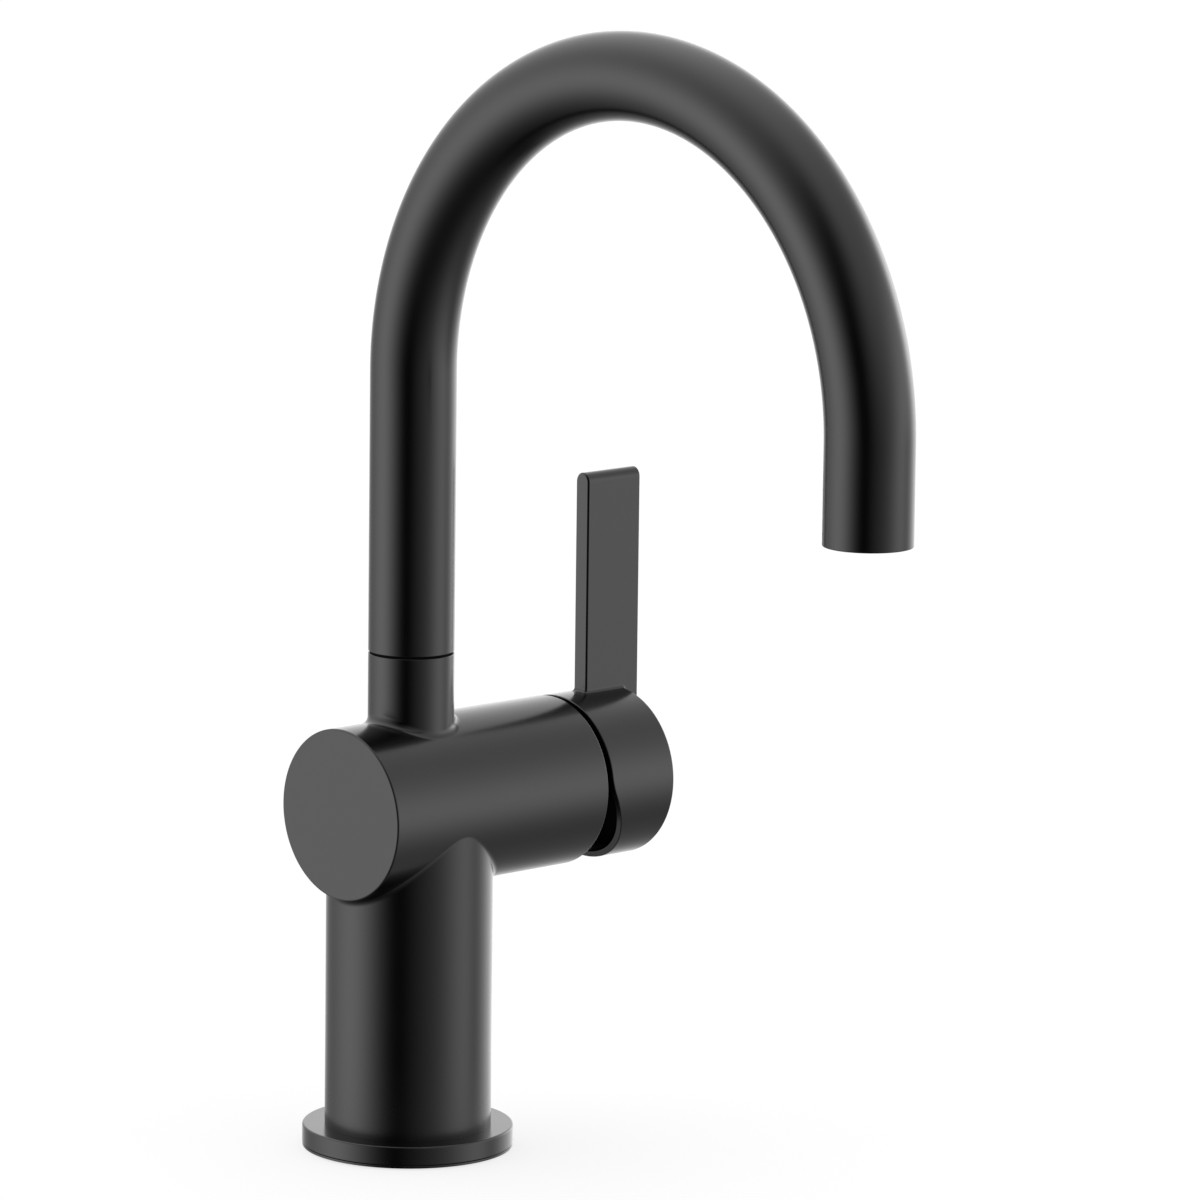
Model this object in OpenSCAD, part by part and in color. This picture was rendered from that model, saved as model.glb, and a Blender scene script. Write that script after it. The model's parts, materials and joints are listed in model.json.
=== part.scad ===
// Gooseneck bar faucet, single side lever, shown closed with the spout to the front.
// Millimetres, +Z up. The origin is on the column axis in the plane of the deck.
// The spout reaches towards -Y and the lever stands at +X.

/* [Body] */
// Diameter of the upright column
column_d = 49.2; // [47:0.2:60]
// Wall of the column
column_wall = 3; // [2:0.1:4]
// Diameter of the cross barrel
barrel_d = 50.8; // [50:0.2:62]
// Wall of the cross barrel
barrel_wall = 3; // [2:0.1:3.3]
// Thickness of the closed end of the barrel
barrel_end_t = 3; // [2:0.1:6]
// Height of the barrel axis above the deck
barrel_h = 103; // [96:1:116]
// Reach of the closed barrel end from the column axis
barrel_closed_x = 27.6; // [26.6:0.2:40]
// Depth of the trim ring behind the open barrel end
trim_recess = 0.4; // [0.2:0.1:2]
// Height of the joint between neck and spout
neck_top_h = 148.2; // [146:0.2:156]
// Radius that breaks the outer edges of the castings
edge_r = 0.5; // [0.2:0.1:1]

/* [Base] */
// Diameter of the base flange
flange_d = 62.5; // [60:0.5:90]
// Height of the top of the base flange above the deck
flange_top_h = 6.9; // [5:0.1:12]
// Shadow gap between the deck and the edge of the flange
flange_lift = 0.4; // [0.2:0.1:0.8]
// Radial width of the deck gasket
gasket_w = 9; // [5:0.5:10]
// Thickness of the deck gasket
gasket_t = 1.6; // [1.2:0.1:2.4]
// Rim of the flange outside the gasket
gasket_rim = 1.7; // [1:0.1:3]
// Height of the spigot that centres the flange in the column
spigot_h = 4; // [3:0.5:8]
// Diameter of the boss that passes through the deck hole
shank_d = 32.8; // [31:0.2:34]
// Height of the base block inside the column
block_h = 16; // [14:1:24]
// Tapping diameter of the hole for the mounting stud
stud_hole_d = 6.8; // [5:0.1:7]
// Depth of the stud hole
stud_hole_l = 20; // [12:1:22]
// Tapping diameter of the two supply inlets
inlet_d = 9; // [8:0.1:9.4]
// Depth of the thread in the two supply inlets
inlet_l = 12; // [8:0.5:14]
// Distance of each supply line from the column axis
inlet_y = 10; // [9.6:0.1:10.4]

/* [Spout] */
// Outer diameter of the spout tube
spout_d = 25.4; // [25:0.1:28]
// Wall of the spout tube
spout_wall = 1.3; // [0.8:0.1:1.5]
// Radius of the arch at the centre of the tube
arch_r = 93; // [70:1:120]
// Height of the centre of the arch
arch_h = 231.8; // [225:1:280]
// Height of the open end of the spout
outlet_h = 203.6; // [190:0.2:210]
// Outer diameter of the fixed post that the spout turns on
post_d = 16; // [15.6:0.1:16.4]
// Bore of the post
post_bore_d = 10; // [8:0.5:10.4]
// Height of the post above the neck
post_l = 41.8; // [40:0.2:50]
// Diameter of the collar that clamps the post in the neck
collar_d = 20.8; // [19.6:0.2:21.4]
// Thickness of the collar
collar_t = 2.5; // [2:0.1:4]
// Thickness of the swivel washer in the joint
washer_t = 0.6; // [0.4:0.1:1]
// Inset of the swivel washer from the outside of the neck
washer_inset = 0.4; // [0.2:0.1:1]
// Radial thickness of the swivel bushings
bushing_t = 1.25; // [1:0.05:1.5]
// Length of each swivel bushing
bushing_l = 5; // [4:0.5:6]
// Length of the sleeve in the foot of the spout
sleeve_l = 38.2; // [36:0.2:39.6]
// Height above the joint of the screw that keeps the spout on its post
swivel_screw_h = 9.4; // [8.6:0.1:10]
// Diameter of that screw
swivel_screw_d = 4; // [3:0.5:4]
// Height above the joint of the first O-ring on the post
post_ring_h = 17; // [16:0.5:20]
// Distance between the two O-rings on the post
post_ring_pitch = 5; // [4:0.5:8]

/* [Outlet] */
// Length of the threaded sleeve in the open end of the spout
outlet_sleeve_l = 13; // [12.6:0.2:20]
// Radial thickness of that sleeve
outlet_sleeve_t = 1.05; // [0.8:0.05:1.4]
// Radial width of the shoulder that the aerator washer bears on
outlet_shoulder = 1.4; // [1:0.1:2]
// Thickness of that shoulder
outlet_shoulder_t = 2; // [1:0.1:2.4]
// Height of the aerator housing
aerator_l = 8.4; // [8:0.1:9]
// Wall of the aerator housing
aerator_wall = 1.4; // [1:0.1:1.8]
// Lip at the foot of the aerator housing
aerator_lip = 0.6; // [0.4:0.1:1]
// Thickness of the aerator screen
screen_t = 2; // [1:0.1:3]
// Distance between the openings of the aerator screen
screen_pitch = 2.9; // [2.6:0.1:4]
// Width of the bars between the openings
screen_bar = 0.5; // [0.3:0.1:0.8]
// Number of jets through the aerator core
jet_count = 12; // [8:1:14]
// Diameter of each jet
jet_d = 1.6; // [1:0.1:2]

/* [Handle] */
// Diameter of the handle hub
hub_d = 50.5; // [50:0.1:52]
// Gap between the barrel and the hub with the faucet closed
hub_gap = 1.95; // [1.9:0.05:4]
// Length of the hub
hub_l = 25; // [24.4:0.2:30]
// Wall of the hub
hub_wall = 1.7; // [1.4:0.1:3]
// Thickness of the closed end of the hub
hub_end_t = 4; // [3.6:0.1:6]
// Slope of the relief under the hub, from upright
relief_angle = 24.6; // [24.4:0.2:30]
// Height above the barrel axis where the relief begins
relief_start = 1.5; // [0:0.1:4]
// Radius that blends the relief into the rim
relief_blend_r = 13.6; // [6:0.2:20]
// Width of the lever blade
blade_w = 21.5; // [14:0.5:24]
// Thickness of the lever blade
blade_t = 5.5; // [4:0.1:8]
// Height of the top of the blade above the deck
blade_top_h = 194.6; // [170:0.2:196]
// How far the blade stands out past the closed end of the hub
blade_overhang = 6.1; // [2:0.1:10]
// Outer diameter of the boss inside the hub
boss_d = 16; // [15:0.2:17]
// Length of the boss inside the hub
boss_l = 13.6; // [12:0.2:14]
// Diameter of the screw that holds the handle on the stem
handle_screw_d = 4.8; // [4:0.1:5]
// Length of that screw
handle_screw_l = 5; // [4:0.1:6]
// Distance of that screw from the inside of the closed end
handle_screw_x = 4.1; // [3.2:0.1:4.4]

/* [Cartridge] */
// Distance of the cartridge seat from the column axis
seat_x = 14; // [13:0.2:17]
// Diameter of the cartridge
cartridge_d = 34.8; // [34.6:0.1:35.2]
// Wall of the cartridge housing
housing_wall = 1.8; // [1.4:0.1:2]
// Thickness of the top of the cartridge housing
housing_top_t = 3; // [2:0.1:4]
// Thickness of the cartridge base
cartridge_base_t = 5; // [4.6:0.1:7]
// Thickness of the fixed disc
fixed_disc_t = 3.5; // [3:0.1:5]
// Diameter of the moving disc
moving_disc_d = 21; // [20.6:0.1:21.4]
// Thickness of the moving disc
moving_disc_t = 3; // [2.6:0.1:4]
// Thickness of the disc carrier
carrier_t = 4.5; // [4:0.1:5]
// Thickness of the flange of the rotor
rotor_flange_t = 2.9; // [2.4:0.1:4]
// Diameter of the neck of the rotor
rotor_neck_d = 18; // [17.8:0.1:18.4]
// Height of the rotor neck beyond the stem pin
rotor_neck_l = 5; // [4:0.1:6]
// Distance of the stem pin from the top of the cartridge housing
pin_rise = 2; // [1.8:0.1:2.2]
// Diameter of the stem pin
pin_d = 3; // [2.4:0.1:3.2]
// Distance from the stem pin to the centre of the ball on the stem
ball_arm = 9.4; // [9:0.1:9.8]
// Diameter of the ball on the stem
ball_d = 5.6; // [5:0.1:5.8]
// Width across the flats of the square end of the stem
stem_square = 8.9; // [8:0.1:9]
// Largest tilt of the lever from closed
tilt_max = 24; // [12:1:24]
// Largest turn of the lever to either side
turn_max = 45; // [30:1:50]
// Height of the cartridge nut
nut_t = 8; // [6:0.2:9]
// Outer diameter of the cartridge nut
nut_d = 37.9; // [37.6:0.1:38.2]
// Inner diameter of the cartridge nut
nut_bore_d = 26.4; // [26:0.1:28]
// Opening in the face of the bonnet ring
bonnet_opening_d = 30; // [29:0.2:31]
// Thickness of the face of the bonnet ring
bonnet_face_t = 3.2; // [2:0.1:4]
// Wall of the bonnet ring
bonnet_wall = 3.1; // [2:0.1:3.4]

/* [Waterways] */
// Outer diameter of the two supply tubes in the column
riser_d = 10; // [9.6:0.1:10.2]
// Wall of the supply tubes
riser_wall = 1; // [0.8:0.1:1.6]
// Depth of the supply tubes in the base block
riser_seat = 7; // [6:0.5:8]
// Drop of the upper ends of the supply tubes below the barrel axis
riser_drop = 11; // [10.6:0.1:11.6]
// Length of the solid part of the valve block behind the column axis
block_back = 13; // [11:0.5:20]
// Height above the barrel axis of the floor of the post hole
post_floor = 13.5; // [12:0.1:14]
// Thickness of the rubber rings
ring_d = 1.3; // [1:0.1:1.4]

/* [Fits] */
// Radial clearance between fitted and turning pieces
fit = 0.05; // [0.03:0.01:0.08]
// Film between the two discs and between sliding faces
film = 0.02; // [0.01:0.01:0.04]
// Clearance around loosely placed pieces
loose = 0.1; // [0.06:0.01:0.12]

/* [Hidden] */
$fn = 96;

// How far a cutter runs past the face it cuts
over = 1;
// Straight pieces in a rounded edge
edge_steps = 3;
// Straight pieces in a half-round
round_steps = 24;

// Column, base and flange
column_bore = column_d - 2 * column_wall;
gasket_od = flange_d - 2 * gasket_rim;
gasket_id = gasket_od - 2 * gasket_w;
spigot_top = flange_top_h + spigot_h;
block_top = spigot_top + block_h;
riser_foot = block_top - riser_seat;
inlet_bore_d = riser_d - 2 * riser_wall;

// Grooves for the rubber rings round the supply tubes
seal_groove_d = riser_d + 2 * ring_d + 4 * fit;
base_seal_h = riser_foot + riser_seat / 2;
valve_seal_inset = 1.9;
valve_seal_h = barrel_h - riser_drop - valve_seal_inset;

// Stations along the cartridge, measured from the column axis
base_x = seat_x + cartridge_base_t;
disc_x = base_x + fixed_disc_t;
moving_x = disc_x + film;
carrier_x = moving_x + moving_disc_t;
carrier_end = carrier_x + carrier_t;
flange_x = carrier_end + film;
flange_end = flange_x + rotor_flange_t;
housing_x = flange_end + film;
shoulder_x = housing_x + housing_top_t;
pivot_x = shoulder_x + pin_rise;
rotor_end = pivot_x + rotor_neck_l;
nut_end = shoulder_x + nut_t;
nut_recess = 2;
block_end = nut_end + nut_recess;

// Barrel, trim and hub
barrel_bore = barrel_d - 2 * barrel_wall;
bonnet_l = 10.2;
bonnet_end = block_end + bonnet_l;
barrel_x = bonnet_end + trim_recess;
hub_x = barrel_x + hub_gap;
hub_end = hub_x + hub_l;
hub_floor = hub_end - hub_end_t;
hub_bore = hub_d - 2 * hub_wall;
blade_x = hub_end + blade_overhang - blade_w;
boss_x = hub_floor - boss_l;
screw_x = hub_floor - handle_screw_x;
stem_gap = 0.2;
stem_end = hub_floor - stem_gap;
socket_w = stem_square + 2 * fit;

// Valve block
block_d = barrel_bore - 2 * loose;
seat_d = cartridge_d + 2 * loose;
supply_port = [9, 4];
disc_port = [6.2, 4.6];
mix_port = [0, -6];
supply_port_d = 5.2;
disc_port_d = 4.8;
mix_port_d = 6;
supply_well_d = 6.4;
mix_well_d = 8;
// Land between a port and the rubber ring around it
port_land = 0.15;
// The ports step inwards halfway through the cartridge base
port_step = 2;
port_overlap = 1;
// Pegs that turn-lock the cartridge in its seat
peg = [10, -9];
peg_d = 3;
peg_l = 3;

// Cartridge: the mixing chamber under the moving disc
housing_bore = cartridge_d - 2 * housing_wall;
chamber = [3.5, -4];
chamber_d = 10.4;
chamber_web = 9.2;
chamber_depth = 1.8;

// Two tongues key the carrier to the rotor and let it slide up and down
tongue = [1.2, 1.6, 12];
tongue_y = 7.6;
disc_travel = ball_arm * sin(tilt_max);
ball_play = 0.2;

// Slot for the stem in the rotor, and the lug that meets the temperature stop
slot_w = 6.2;
slot_h = 14.6;
stop_lug = [1.8, 2.4, 2.8];
stop_margin = 10;
stop_gap = turn_max + stop_margin;
stop_t = 3;
nut_slot = [3, 4];

// Stem and its pin
pin_l = 16.4;
stem_eye_d = 8.4;
stem_arm_d = 4.4;
stem_bar = [6, 8];
square_gap = 3;
square_x = rotor_end + square_gap;

// Spout and post
neck_d = spout_d;
spout_bore = spout_d - 2 * spout_wall;
foot_h = neck_top_h + washer_t;
sleeve_d = spout_bore - 2 * fit;
bushing_d = post_d + 2 * fit + 2 * bushing_t;
land_gap = 0.3;
land_d = post_d + 2 * land_gap;
sleeve_top = foot_h + sleeve_l;
post_top = neck_top_h + post_l;
post_foot = barrel_h + post_floor + ring_d;
post_groove_d = land_d - 2 * ring_d - 2 * fit;
screw_h = foot_h + swivel_screw_h;
screw_groove = 1.2;
screw_groove_d = post_d - 2 * screw_groove;

// Outlet and aerator
outlet_inset = 0.3;
outlet_foot = outlet_h + outlet_inset;
outlet_bore = sleeve_d - 2 * outlet_sleeve_t;
aerator_d = outlet_bore - 2 * fit;
aerator_foot = outlet_foot + outlet_inset;
aerator_bore = aerator_d - 2 * aerator_wall;
screen_d = aerator_bore - 2 * fit;
screen_foot = aerator_foot + aerator_lip;
core_foot = screen_foot + screen_t + film;
aerator_top = aerator_foot + aerator_l;
washer_top = outlet_foot + outlet_sleeve_l - outlet_shoulder_t;
washer_lap = 0.5;
screen_rings = 3;
jet_rim = 1.1;
jet_circle_d = screen_d - jet_d - 2 * jet_rim;

// Relief under the hub, and the screws with their plug
relief_tangent = relief_blend_r * tan(relief_angle / 2);
relief_top = barrel_h + relief_start;
hub_under = barrel_h - hub_d / 2 - over;
hex_key_d = 2.2;
hex_key_depth = 2;
plug_d = 5.6;
plug_l = 2.4;

// Outline points of a quarter-round corner about a centre, or the sharp corner itself
function corner(centre, r, start) = r > 0
    ? [for (i = [0 : edge_steps])
        let (a = start + 90 * i / edge_steps) centre + r * [cos(a), sin(a)]]
    : [centre];

// Half-round of radius r about a centre, from angle start through 180 degrees
function half_round(centre, r, start) = [
    for (i = [0 : round_steps])
        let (a = start + 180 * i / round_steps) centre + r * [cos(a), sin(a)]
];

// A solid bar standing on z = 0, with its lower and upper edges rounded
module bar(d, h, low = 0, high = 0) {
    rotate_extrude() polygon(concat(
        [[0, 0]],
        corner([d / 2 - low, low], low, -90),
        corner([d / 2 - high, h - high], high, 0),
        [[0, h]]
    ));
}

// A ring standing on z = 0
module ring(od, id, h) {
    difference() {
        cylinder(d = od, h = h);
        translate([0, 0, -over]) cylinder(d = id, h = h + 2 * over);
    }
}

// A rubber ring whose inner edge lies on diameter id
module rubber_ring(id, section) {
    rotate_extrude() translate([id / 2 + section / 2, 0]) circle(d = section);
}

// Places children along the barrel axis: their +Z becomes +X
module on_barrel(x) {
    translate([x, 0, barrel_h]) rotate([0, 90, 0]) children();
}

// The same, beside the axis at p = [across, up]
module beside_barrel(x, p) {
    translate([x, p[0], barrel_h + p[1]]) rotate([0, 90, 0]) children();
}

// Children at the hot and at the cold side
module both_sides(p) {
    for (side = [-1, 1]) children_at(side * p[0], p[1]) children();
}

module children_at(across, up) {
    translate([0, across, up]) children();
}

// Base
module deck_gasket() color("dimgray")
    ring(gasket_od - 2 * fit, gasket_id + 2 * fit, gasket_t);

module base_flange() color([0.13, 0.13, 0.13]) difference() {
    union() {
        translate([0, 0, flange_lift])
            bar(flange_d, flange_top_h - flange_lift, edge_r, edge_r);
        translate([0, 0, flange_lift])
            cylinder(d = column_bore - 2 * fit, h = spigot_top - flange_lift);
    }
    translate([0, 0, -over]) cylinder(d = shank_d + 2 * fit, h = spigot_top + 2 * over);
    translate([0, 0, -over]) ring(gasket_od, gasket_id, gasket_t + over);
}

module base_block() color("goldenrod") difference() {
    union() {
        cylinder(d = shank_d, h = block_top);
        translate([0, 0, spigot_top]) cylinder(d = column_bore - 2 * fit, h = block_h);
    }
    translate([0, 0, -over]) cylinder(d = stud_hole_d, h = stud_hole_l + over);
    both_sides([inlet_y, 0]) {
        translate([0, 0, -over]) cylinder(d = inlet_d, h = inlet_l + over);
        cylinder(d = inlet_bore_d, h = block_top);
        translate([0, 0, riser_foot]) cylinder(d = riser_d + 2 * fit, h = riser_seat + over);
        translate([0, 0, base_seal_h]) cylinder(d = seal_groove_d, h = ring_d + film, center = true);
    }
}

// Body
module body_casting() color([0.13, 0.13, 0.13]) difference() {
    union() {
        translate([0, 0, flange_top_h]) cylinder(d = column_d, h = barrel_h - flange_top_h);
        on_barrel(-barrel_closed_x) bar(barrel_d, barrel_closed_x + barrel_x, edge_r, edge_r);
        translate([0, 0, barrel_h]) bar(neck_d, neck_top_h - barrel_h, 0, edge_r / 2);
    }
    translate([0, 0, -over]) cylinder(d = column_bore, h = barrel_h + over);
    on_barrel(-barrel_closed_x + barrel_end_t)
        cylinder(d = barrel_bore, h = barrel_closed_x + barrel_x);
    translate([0, 0, barrel_h]) cylinder(d = post_d + 2 * loose, h = neck_top_h - barrel_h + over);
    translate([0, 0, neck_top_h - collar_t])
        cylinder(d = collar_d + 2 * fit, h = collar_t + over);
}

module riser(side, tint) color(tint) translate([0, side * inlet_y, riser_foot])
    ring(riser_d, riser_d - 2 * riser_wall, barrel_h - riser_drop - riser_foot);

module hot_riser() riser(-1, "peru");

module cold_riser() riser(1, "chocolate");

module riser_seals() color("black") both_sides([inlet_y, 0])
    for (h = [base_seal_h, valve_seal_h])
        translate([0, 0, h]) rubber_ring(riser_d + 2 * fit, ring_d);

// A bore up or down from the middle of the valve block
module well(y, d, from, to) translate([0, y, barrel_h + from]) cylinder(d = d, h = to - from);

module valve_block() color("gold") difference() {
    on_barrel(-block_back) cylinder(d = block_d, h = block_back + block_end);
    on_barrel(seat_x) cylinder(d = seat_d, h = block_end - seat_x + over);
    on_barrel(shoulder_x) cylinder(d = nut_d + 2 * fit, h = block_end - shoulder_x + over);
    for (side = [-1, 1]) {
        beside_barrel(0, [side * supply_port[0], supply_port[1]])
            cylinder(d = supply_port_d, h = seat_x + over);
        beside_barrel(seat_x - peg_l - film, [side * peg[0], peg[1]])
            cylinder(d = peg_d + 2 * fit, h = peg_l + over);
        well(side * inlet_y, supply_well_d, -riser_drop - over, supply_port[1]);
        well(side * inlet_y, riser_d + 2 * fit, -block_d / 2 - over, -riser_drop);
        translate([0, side * inlet_y, valve_seal_h])
            cylinder(d = seal_groove_d, h = ring_d + film, center = true);
    }
    beside_barrel(0, mix_port) cylinder(d = mix_port_d, h = seat_x + over);
    well(0, mix_well_d, mix_port[1], post_floor + over);
    well(0, post_d + 2 * fit, post_floor, block_d / 2 + over);
}

// Cartridge
module port_seal(p, d) beside_barrel(seat_x + (ring_d + film) / 2, p)
    rubber_ring(d + 2 * port_land, ring_d);

module port_seals() color("black") {
    for (side = [-1, 1]) port_seal([side * supply_port[0], supply_port[1]], supply_port_d);
    port_seal(mix_port, mix_port_d);
}

// Groove that holds one port seal
module port_groove(p, d) beside_barrel(seat_x - over, p)
    ring(d + 2 * (port_land + ring_d + fit), d + 2 * (port_land - fit), ring_d + film + over);

module cartridge_base() color("whitesmoke") {
    difference() {
        on_barrel(seat_x) cylinder(d = cartridge_d, h = cartridge_base_t);
        for (side = [-1, 1]) {
            beside_barrel(seat_x - over, [side * supply_port[0], supply_port[1]])
                cylinder(d = supply_port_d, h = over + port_step + port_overlap);
            beside_barrel(seat_x + port_step, [side * disc_port[0], disc_port[1]])
                cylinder(d = disc_port_d, h = cartridge_base_t);
            port_groove([side * supply_port[0], supply_port[1]], supply_port_d);
        }
        beside_barrel(seat_x - over, mix_port)
            cylinder(d = mix_port_d, h = cartridge_base_t + 2 * over);
        port_groove(mix_port, mix_port_d);
    }
    for (side = [-1, 1])
        beside_barrel(seat_x - peg_l, [side * peg[0], peg[1]])
            cylinder(d = peg_d, h = peg_l + cartridge_base_t / 2);
}

module fixed_disc() color("seashell") difference() {
    on_barrel(base_x) cylinder(d = housing_bore - 2 * fit, h = fixed_disc_t);
    for (side = [-1, 1])
        beside_barrel(base_x - over, [side * disc_port[0], disc_port[1]])
            cylinder(d = disc_port_d, h = fixed_disc_t + 2 * over);
    beside_barrel(base_x - over, mix_port) cylinder(d = mix_port_d, h = fixed_disc_t + 2 * over);
}

module moving_disc() color("mistyrose") difference() {
    on_barrel(moving_x) cylinder(d = moving_disc_d, h = moving_disc_t);
    for (side = [-1, 1])
        beside_barrel(moving_x - over, [side * chamber[0], chamber[1]])
            cylinder(d = chamber_d, h = chamber_depth + over);
    translate([moving_x - over, -chamber[0], barrel_h + chamber[1] - chamber_web / 2])
        cube([chamber_depth + over, 2 * chamber[0], chamber_web]);
}

module disc_carrier() color("steelblue") difference() {
    union() {
        on_barrel(carrier_x) cylinder(d = moving_disc_d, h = carrier_t);
        for (side = [-1, 1])
            translate([carrier_end - over, side * tongue_y - tongue[1] / 2, barrel_h - tongue[2] / 2])
                cube([tongue[0] + over, tongue[1], tongue[2]]);
    }
    on_barrel(carrier_x + film) cylinder(d = ball_d + 2 * ball_play, h = carrier_t + over);
}

module cartridge_housing() color("gainsboro") difference() {
    on_barrel(base_x) cylinder(d = cartridge_d, h = shoulder_x - base_x);
    on_barrel(base_x - over) cylinder(d = housing_bore, h = housing_x - base_x + over);
    on_barrel(base_x) cylinder(d = rotor_neck_d + 2 * fit, h = shoulder_x);
}

module rotor() color("lightsteelblue") difference() {
    union() {
        on_barrel(flange_x) cylinder(d = housing_bore - 2 * fit, h = rotor_flange_t);
        on_barrel(flange_x) cylinder(d = rotor_neck_d, h = rotor_end - flange_x);
        translate([shoulder_x + film, -stop_lug[1] / 2, barrel_h - rotor_neck_d / 2 - stop_lug[0]])
            cube([stop_lug[2], stop_lug[1], stop_lug[0] + over]);
    }
    translate([flange_x - over, -slot_w / 2, barrel_h - slot_h / 2])
        cube([rotor_end - flange_x + 2 * over, slot_w, slot_h]);
    for (side = [-1, 1]) translate([
        flange_x - over,
        side * tongue_y - tongue[1] / 2 - loose,
        barrel_h - tongue[2] / 2 - loose
    ])
        cube([over + tongue[0] + film, tongue[1] + 2 * loose, tongue[2] + disc_travel + 3 * loose]);
    translate([pivot_x, 0, barrel_h]) rotate([90, 0, 0])
        cylinder(d = pin_d + 2 * film, h = rotor_neck_d + over, center = true);
}

module stem_pin() color("silver") translate([pivot_x, 0, barrel_h]) rotate([90, 0, 0])
    cylinder(d = pin_d, h = pin_l, center = true);

module stem() color("darkkhaki") difference() {
    union() {
        on_barrel(pivot_x - ball_arm) sphere(d = ball_d);
        on_barrel(pivot_x - ball_arm) cylinder(d = stem_arm_d, h = ball_arm);
        translate([pivot_x, 0, barrel_h]) rotate([90, 0, 0])
            cylinder(d = stem_eye_d, h = stem_bar[0], center = true);
        translate([pivot_x, -stem_bar[0] / 2, barrel_h - stem_bar[1] / 2])
            cube([square_x - pivot_x + over, stem_bar[0], stem_bar[1]]);
        translate([square_x, -stem_square / 2, barrel_h - stem_square / 2])
            cube([stem_end - square_x, stem_square, stem_square]);
    }
    translate([pivot_x, 0, barrel_h]) rotate([90, 0, 0])
        cylinder(d = pin_d + 2 * fit, h = stem_bar[0] + over, center = true);
}

module temperature_stop() color("tomato") difference() {
    on_barrel(shoulder_x) ring(nut_bore_d - 2 * loose, rotor_neck_d + 2 * loose, stop_t);
    on_barrel(shoulder_x - over) linear_extrude(stop_t + 2 * over) polygon([
        [0, 0],
        nut_bore_d * [cos(stop_gap), -sin(stop_gap)],
        nut_bore_d * [1, 0],
        nut_bore_d * [cos(stop_gap), sin(stop_gap)]
    ]);
}

module cartridge_nut() color("darkgoldenrod") difference() {
    on_barrel(shoulder_x) ring(nut_d, nut_bore_d, nut_t);
    for (turn = [0, 90])
        on_barrel(nut_end - nut_slot[0]) rotate([0, 0, turn])
            translate([-nut_d, -nut_slot[1] / 2, 0]) cube([2 * nut_d, nut_slot[1], nut_slot[0] + over]);
}

module bonnet_ring() color([0.2, 0.2, 0.2]) difference() {
    on_barrel(block_end) bar(barrel_bore - 2 * fit, bonnet_l, 0, edge_r);
    on_barrel(block_end - over)
        cylinder(d = barrel_bore - 2 * bonnet_wall, h = bonnet_l - bonnet_face_t + over);
    on_barrel(block_end) cylinder(d = bonnet_opening_d, h = bonnet_l + over);
}

// Swivel
module spout_post() color("khaki") difference() {
    union() {
        translate([0, 0, post_foot]) cylinder(d = post_d, h = post_top - post_foot);
        translate([0, 0, neck_top_h - collar_t]) cylinder(d = collar_d, h = collar_t);
    }
    translate([0, 0, post_foot - over]) cylinder(d = post_bore_d, h = post_top - post_foot + 2 * over);
    for (i = [0, 1])
        translate([0, 0, foot_h + post_ring_h + i * post_ring_pitch])
            ring(post_d + over, post_groove_d, ring_d + 2 * film);
    translate([0, 0, screw_h - swivel_screw_d / 2 - fit])
        ring(post_d + over, screw_groove_d, swivel_screw_d + 2 * fit);
}

module post_seal() color("black") translate([0, 0, post_foot - ring_d / 2])
    rubber_ring(post_bore_d + ring_d, ring_d - 2 * film);

module post_o_rings() color("black")
    for (i = [0, 1])
        translate([0, 0, foot_h + post_ring_h + i * post_ring_pitch + ring_d / 2 + film])
            rubber_ring(post_groove_d, ring_d);

module swivel_washer() color("black") translate([0, 0, neck_top_h])
    ring(neck_d - 2 * washer_inset, post_d + 2 * fit, washer_t);

// Spout
module spout_tube() color([0.13, 0.13, 0.13]) difference() {
    union() {
        translate([0, 0, foot_h]) ring(spout_d, spout_bore, arch_h - foot_h);
        translate([0, -arch_r, arch_h]) rotate([90, 0, 90]) rotate_extrude(angle = 180)
            translate([arch_r, 0]) difference() {
                circle(d = spout_d);
                circle(d = spout_bore);
            }
        translate([0, -2 * arch_r, outlet_h]) ring(spout_d, spout_bore, arch_h - outlet_h);
    }
    swivel_hole(swivel_screw_d + 2 * fit);
}

// Radial hole at the back of the spout foot
module swivel_hole(d) translate([0, post_d / 2, screw_h]) rotate([-90, 0, 0])
    cylinder(d = d, h = spout_d / 2);

module spout_sleeve() color("burlywood") difference() {
    translate([0, 0, foot_h]) ring(sleeve_d, land_d, sleeve_l);
    translate([0, 0, foot_h - over]) cylinder(d = bushing_d + 2 * fit, h = bushing_l + over);
    translate([0, 0, sleeve_top - bushing_l])
        cylinder(d = bushing_d + 2 * fit, h = bushing_l + over);
    swivel_hole(swivel_screw_d + 2 * fit);
}

module lower_bushing() color("ivory") translate([0, 0, foot_h])
    ring(bushing_d, post_d + 2 * fit, bushing_l);

module upper_bushing() color("ivory") translate([0, 0, sleeve_top - bushing_l])
    ring(bushing_d, post_d + 2 * fit, bushing_l);

module swivel_screw() color("gray") difference() {
    translate([0, screw_groove_d / 2 + fit, screw_h]) rotate([-90, 0, 0])
        cylinder(d = swivel_screw_d, h = (spout_d - screw_groove_d) / 2 - edge_r);
    translate([0, spout_d / 2 - edge_r - hex_key_depth, screw_h]) rotate([-90, 0, 0])
        cylinder(d = hex_key_d, h = hex_key_depth + over, $fn = 6);
}

// Outlet
module at_outlet(h) translate([0, -2 * arch_r, h]) children();

module outlet_sleeve() color("tan") at_outlet(outlet_foot) difference() {
    ring(sleeve_d, outlet_bore - 2 * outlet_shoulder, outlet_sleeve_l);
    translate([0, 0, -over])
        cylinder(d = outlet_bore, h = outlet_sleeve_l - outlet_shoulder_t + over);
}

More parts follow.
